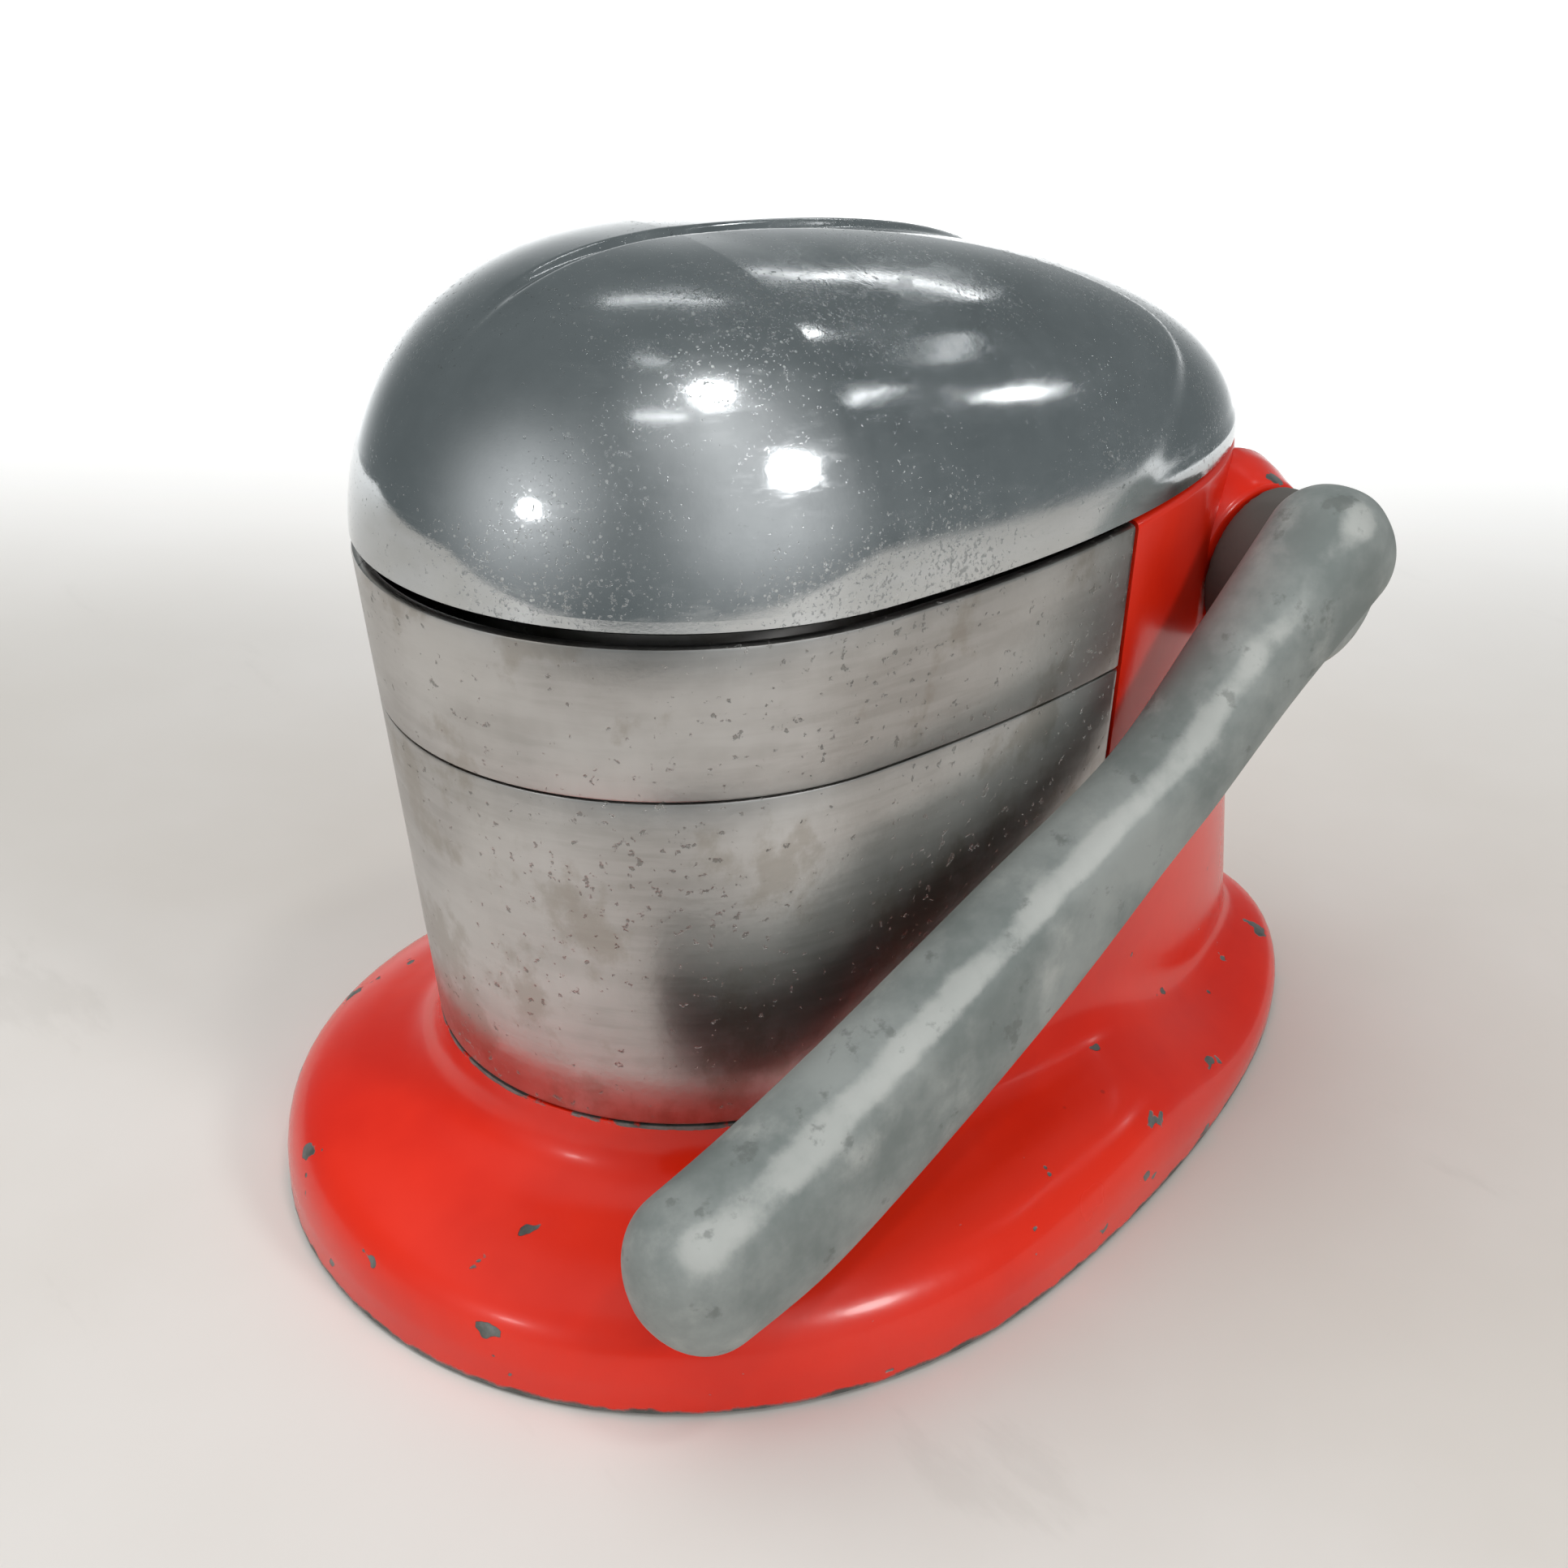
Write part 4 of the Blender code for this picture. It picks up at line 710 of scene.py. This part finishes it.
def arm_rows(first, steps, edge, shift, points=56, flute=0.0):
    """Sections along the arm with round ends. Edge and shift give the hollow in its inner side, and
    flute the depth of the dished outer face."""
    last = len(STATIONS) - 1
    rows = [flowing(STATIONS, between(first, last, i / steps)) for i in range(steps + 1)]
    centres = [Vector((row[0] + shift, CUP_Y + row[1], row[2])) for row in rows]
    rings = []
    start_caps = [math.cos(math.radians(a)) for a in range(4, 90, 10)]
    sections = [(0, share) for share in start_caps] + [(i, 0) for i in range(steps + 1)]
    sections += [(steps, share) for share in reversed(start_caps)]
    for i, share in sections:
        ahead, behind = centres[min(i + 1, steps)], centres[max(i - 1, 0)]
        tangent = (ahead - behind).normalized()
        reach = rows[0][4] - edge if i == 0 else ARM_TIP - edge
        centre = centres[i] + tangent * reach * share * (-1 if i == 0 else 1)
        size = math.sqrt(1 - share * share)
        normal = Vector((0, -tangent.z, tangent.y)).normalized()
        normal = -normal if normal.z < 0 else normal
        across = normal.cross(tangent).normalized()
        across = -across if across.x < 0 else across
        ring = []
        for k in range(points):
            angle = 2 * math.pi * k / points
            c, s = math.cos(angle), math.sin(angle)
            u = math.copysign(abs(c) ** (2 / ARM_SQUARENESS), c) * rows[i][3] * size
            u -= flute * ease((i / steps - 0.30) / 0.10) * ease((0.86 - i / steps) / 0.20) * max(c, 0) ** 4
            v = math.copysign(abs(s) ** (2 / ARM_SQUARENESS), s) * (rows[i][4] - edge) * size
            ring.append(tuple(centre + across * u + normal * v))
        rings.append(ring)
    start = tuple(centres[0] - (centres[1] - centres[0]).normalized() * (rows[0][4] - edge))
    end = tuple(centres[-1] + (centres[-1] - centres[-2]).normalized() * (ARM_TIP - edge))
    return [point_row(start, rings[0]), *rings, point_row(end, rings[0])]


HUB_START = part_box("handle")[0].x
HUB_LENGTH = 0.0192
HUB_RADIUS = 0.0165
HUB_FLAT = 0.0110
HUB_ROUND = 0.0060
HUB_BORE = 0.0063
HUB_BORE_DEPTH = 0.0198
hub_profile = [(0, 0), (HUB_RADIUS - 0.0008, 0), (HUB_RADIUS - 0.0004, 0.0004),
               (HUB_RADIUS, HUB_LENGTH - HUB_ROUND)]
hub_profile += [(between(HUB_FLAT, HUB_RADIUS, math.cos(math.radians(a))),
                 HUB_LENGTH - HUB_ROUND * (1 - math.sin(math.radians(a)))) for a in range(15, 91, 15)]
hub_profile += [(0, HUB_LENGTH)]
lever = wrap("zinc_lever", turned_rows(hub_profile, HUB_START, 1, 96))
boolean(lever, wrap("arm", arm_rows(0, 64, 0, 0, flute=0.0016)), "UNION")
soften = lever.modifiers.new("cast_corners", "REMESH")
soften.mode = "VOXEL"
soften.voxel_size = 0.00085
bpy.ops.object.modifier_apply(modifier=soften.name)
ease_out = lever.modifiers.new("cast_fillets", "SMOOTH")
ease_out.factor = 0.5
ease_out.iterations = 6
bpy.ops.object.modifier_apply(modifier=ease_out.name)
boolean(lever, wrap("arm_hollow", arm_rows(1.8, 24, 0.0045, -0.0040, 40)), "DIFFERENCE")
bore_profile = [(0, 0), (HUB_BORE, 0), (HUB_BORE, HUB_BORE_DEPTH), (0, HUB_BORE_DEPTH)]
boolean(lever, wrap("hub_bore", turned_rows(bore_profile, 0.030, 1)), "DIFFERENCE")
smooth(lever, 50)

zinc = Finish("dull_zinc", (0.38, 0.40, 0.385), 0.7, 0.35)
mottle = zinc.cloud(30, 6, 0.6)
bloom = zinc.cloud(75, 6, 0.6, zinc.stretched((1, 1, 1), (0.5, 0.3, 0.9)))
facing_up = zinc.node("TexCoord", {}, {}, "Normal")
# painted highlight: faces turned toward the lamps get a lighter colour, mixed with noise as rubbed wear
lamp_facing = zinc.node("VectorMath", {"operation": "DOT_PRODUCT"}, {0: facing_up, 1: (0.62, -0.28, 0.73)}, "Value")
rub_and_painted_sheen = (lamp_facing.step(0.86, 1.0) * 0.35 + bloom - 0.35).step(0.16, 0.50) * 0.55
grey = zinc.mix(mottle.step(0.36, 0.64), (0.20, 0.225, 0.215), (0.35, 0.37, 0.355))
grey = zinc.mix(rub_and_painted_sheen, grey, (0.60, 0.60, 0.57))
dirt = zinc.cloud(140, 5, 0.6, zinc.stretched((1, 1, 1), (0.1, 0.8, 0.2)))
grey = zinc.mix(dirt.step(0.60, 0.68) * 0.5, grey, (0.13, 0.14, 0.13))
# painted shade: the inner side of the hub, between the column and the arm, is darkened to brown
across = zinc.along(0)
behind = across.step(0.020, 0.034) * (1 - across.step(0.0445, 0.0490)) * zinc.along(1).step(0.040, 0.052)
grey = zinc.mix(behind * 0.85, grey, (0.085, 0.070, 0.060))
zinc.put(zinc.surface, {"Base Color": grey, "Roughness": 0.64 + 0.16 * mottle - 0.12 * rub_and_painted_sheen})
zinc.relief(0.35 * mottle + 0.4 * zinc.cloud(420, 3) + 0.2 * bloom, 0.00012)
zinc.on(lever)
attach(lever, "handle")
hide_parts("handle")
dress(zinc, "shaft_end_cap")

# ---- lid ----
# A pressed dome, chromed and polished, shaped like a beetle's back: two full cheeks with a narrow
# spine between them that widens into a tail. Years of wiping have hazed it and pits have come through.
LID_RIM = 0.1340
LID_CROWN = 0.0472
LID_PEAK = -0.0050
LID_WALL = 0.0024
LID_TILT = math.radians(-0.6)
LID_HINGE = Vector((0, CUP_Y + 0.1000, 0.1430))
SPINE_DEPTH = 0.0016
SPINE_START = -0.058
SPINE_GROWTH = 0.060
STEP_WIDTH = 0.0024
RIM_ROLL = 0.0005
RIM_DROP = 0.0004
# powers that round the dome between its peak and its rim, at the front and at the tail
DOME_FALL = (2.45, 1.75)
DOME_ROOT = (0.48, 0.50)
AROUND = 320


def bezier(points, t):
    s = 1 - t
    weights = (s**3, 3 * s * s * t, 3 * s * t * t, t**3)
    return Vector(sum(w * p[i] for w, p in zip(weights, points)) for i in range(2))


# edge of the right cheek: along the spine, round the back and forward to the rim
cheek_edge = [bezier(((0.0015, -0.050), (0.0000, 0.010), (0.0030, 0.052), (0.0190, 0.0850)), i / 30)
              for i in range(30)]
cheek_edge += [bezier(((0.0190, 0.0850), (0.0240, 0.0950), (0.0340, 0.0920), (0.0560, 0.0420)), i / 20)
               for i in range(21)]


def cheek_share(x, y):
    """0 on the spine and tail, 1 on a cheek, with a narrow step between them."""
    place = Vector((abs(x), y))
    nearest, inside = 1.0, True
    for a, b in zip(cheek_edge, cheek_edge[1:]):
        run = b - a
        t = min(max((place - a).dot(run) / run.dot(run), 0), 1)
        gap = place - (a + run * t)
        if gap.length < nearest:
            nearest = gap.length
            inside = run.x * gap.y - run.y * gap.x < 0
    return ease((nearest if inside else -nearest) / STEP_WIDTH + 0.5)


def lid_point(share, angle, inset, crown, rim_z, spine):
    """A point of the dome at a share of the way from its peak to the rim."""
    width = HALF_WIDTH[1] - inset
    front = FRONT_REACH[1] - inset
    rear = REAR_REACH[1] - inset
    y = math.cos(angle)
    rim = Vector((width * math.sin(angle), -front * y if y > 0 else -rear * y))
    reach = (rim - Vector((0, LID_PEAK))).normalized().y
    falling = max(reach, 0)
    first = between(*DOME_FALL, falling)
    second = between(*DOME_ROOT, falling)
    x = rim.x * share
    y = LID_PEAK + (rim.y - LID_PEAK) * share
    height = crown * max(1 - share**first, 0) ** second
    if spine:
        depth = SPINE_DEPTH * ease((y - SPINE_START) / SPINE_GROWTH)
        height -= depth * (1 - cheek_share(x, y)) * ease((height - 0.0015) / 0.006)
    return Vector((x, CUP_Y + y, rim_z + height))


dome_shares = [math.sin(math.pi / 2 * i / 150) for i in range(1, 148)] + [0.9995, 1.0]
inner_shares = [math.sin(math.pi / 2 * i / 36) for i in range(1, 36)] + [1.0]


def dome_rows(shares, inset, crown, spine):
    rows = []
    for share in shares:
        rows.append([lid_point(share, 2 * math.pi * i / AROUND, inset, crown, LID_RIM, spine)
                     for i in range(AROUND)])
    return rows


outer = dome_rows(dome_shares, 0, LID_CROWN, True)
inner = dome_rows(inner_shares, LID_WALL, LID_CROWN - LID_WALL, False)
roll = dome_rows([1.0], RIM_ROLL, 0, False)[0]
roll_in = dome_rows([1.0], LID_WALL - RIM_ROLL, 0, False)[0]
roll = [point - Vector((0, 0, RIM_DROP)) for point in roll]
roll_in = [point - Vector((0, 0, RIM_DROP)) for point in roll_in]
peak = Vector((0, CUP_Y + LID_PEAK, LID_RIM + LID_CROWN))
lid_rows = [point_row(peak, roll), *outer, roll, roll_in, *reversed(inner)]
lid_rows.append(point_row(peak - Vector((0, 0, LID_WALL)), roll))
lid = wrap("chrome_lid", lid_rows)
lid.data.transform(Matrix.Translation(LID_HINGE) @ Matrix.Rotation(LID_TILT, 4, "X")
                   @ Matrix.Translation(-LID_HINGE))
smooth(lid, 40)

chrome = Finish("worn_chrome", (0.62, 0.64, 0.65), 0.1, 1.0)
haze = chrome.cloud(18, 6, 0.62)
fine = chrome.cloud(1300, 4, 0.65)
scratch = chrome.cloud(30, 5, 0.6, chrome.stretched((1, 5, 24), (0.3, 0.3, 0.1)))
pit_zone = chrome.cloud(34, 3, 0.5, chrome.stretched((1, 1, 1), (0.9, 0.4, 0.5)))
pit = (fine * 0.8 + pit_zone * 0.35).step(0.66, 0.74)
pinholes = chrome.specks(620, 0.20, chrome.stretched((1, 1, 1), (0.01, 0.02, 0.03)))
white_pit = pinholes * pit_zone.step(0.48, 0.58)
plate = chrome.mix(haze.step(0.35, 0.65), (0.52, 0.54, 0.55), (0.66, 0.68, 0.69))
plate = chrome.mix(pit * 0.5, plate, (0.22, 0.23, 0.23))
plate = chrome.mix(white_pit * 0.6, plate, (0.74, 0.75, 0.74))
chrome.put(chrome.surface, {"Base Color": plate,
                            "Roughness": 0.07 + 0.11 * haze.step(0.40, 0.66) + 0.22 * pit + 0.3 * white_pit
                            + 0.06 * scratch.step(0.5, 0.65)})
chrome.relief(0.35 * fine + 0.15 * scratch - 0.8 * pit, 0.00002)
chrome.on(lid)
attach(lid, "lid")
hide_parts("lid_shell")
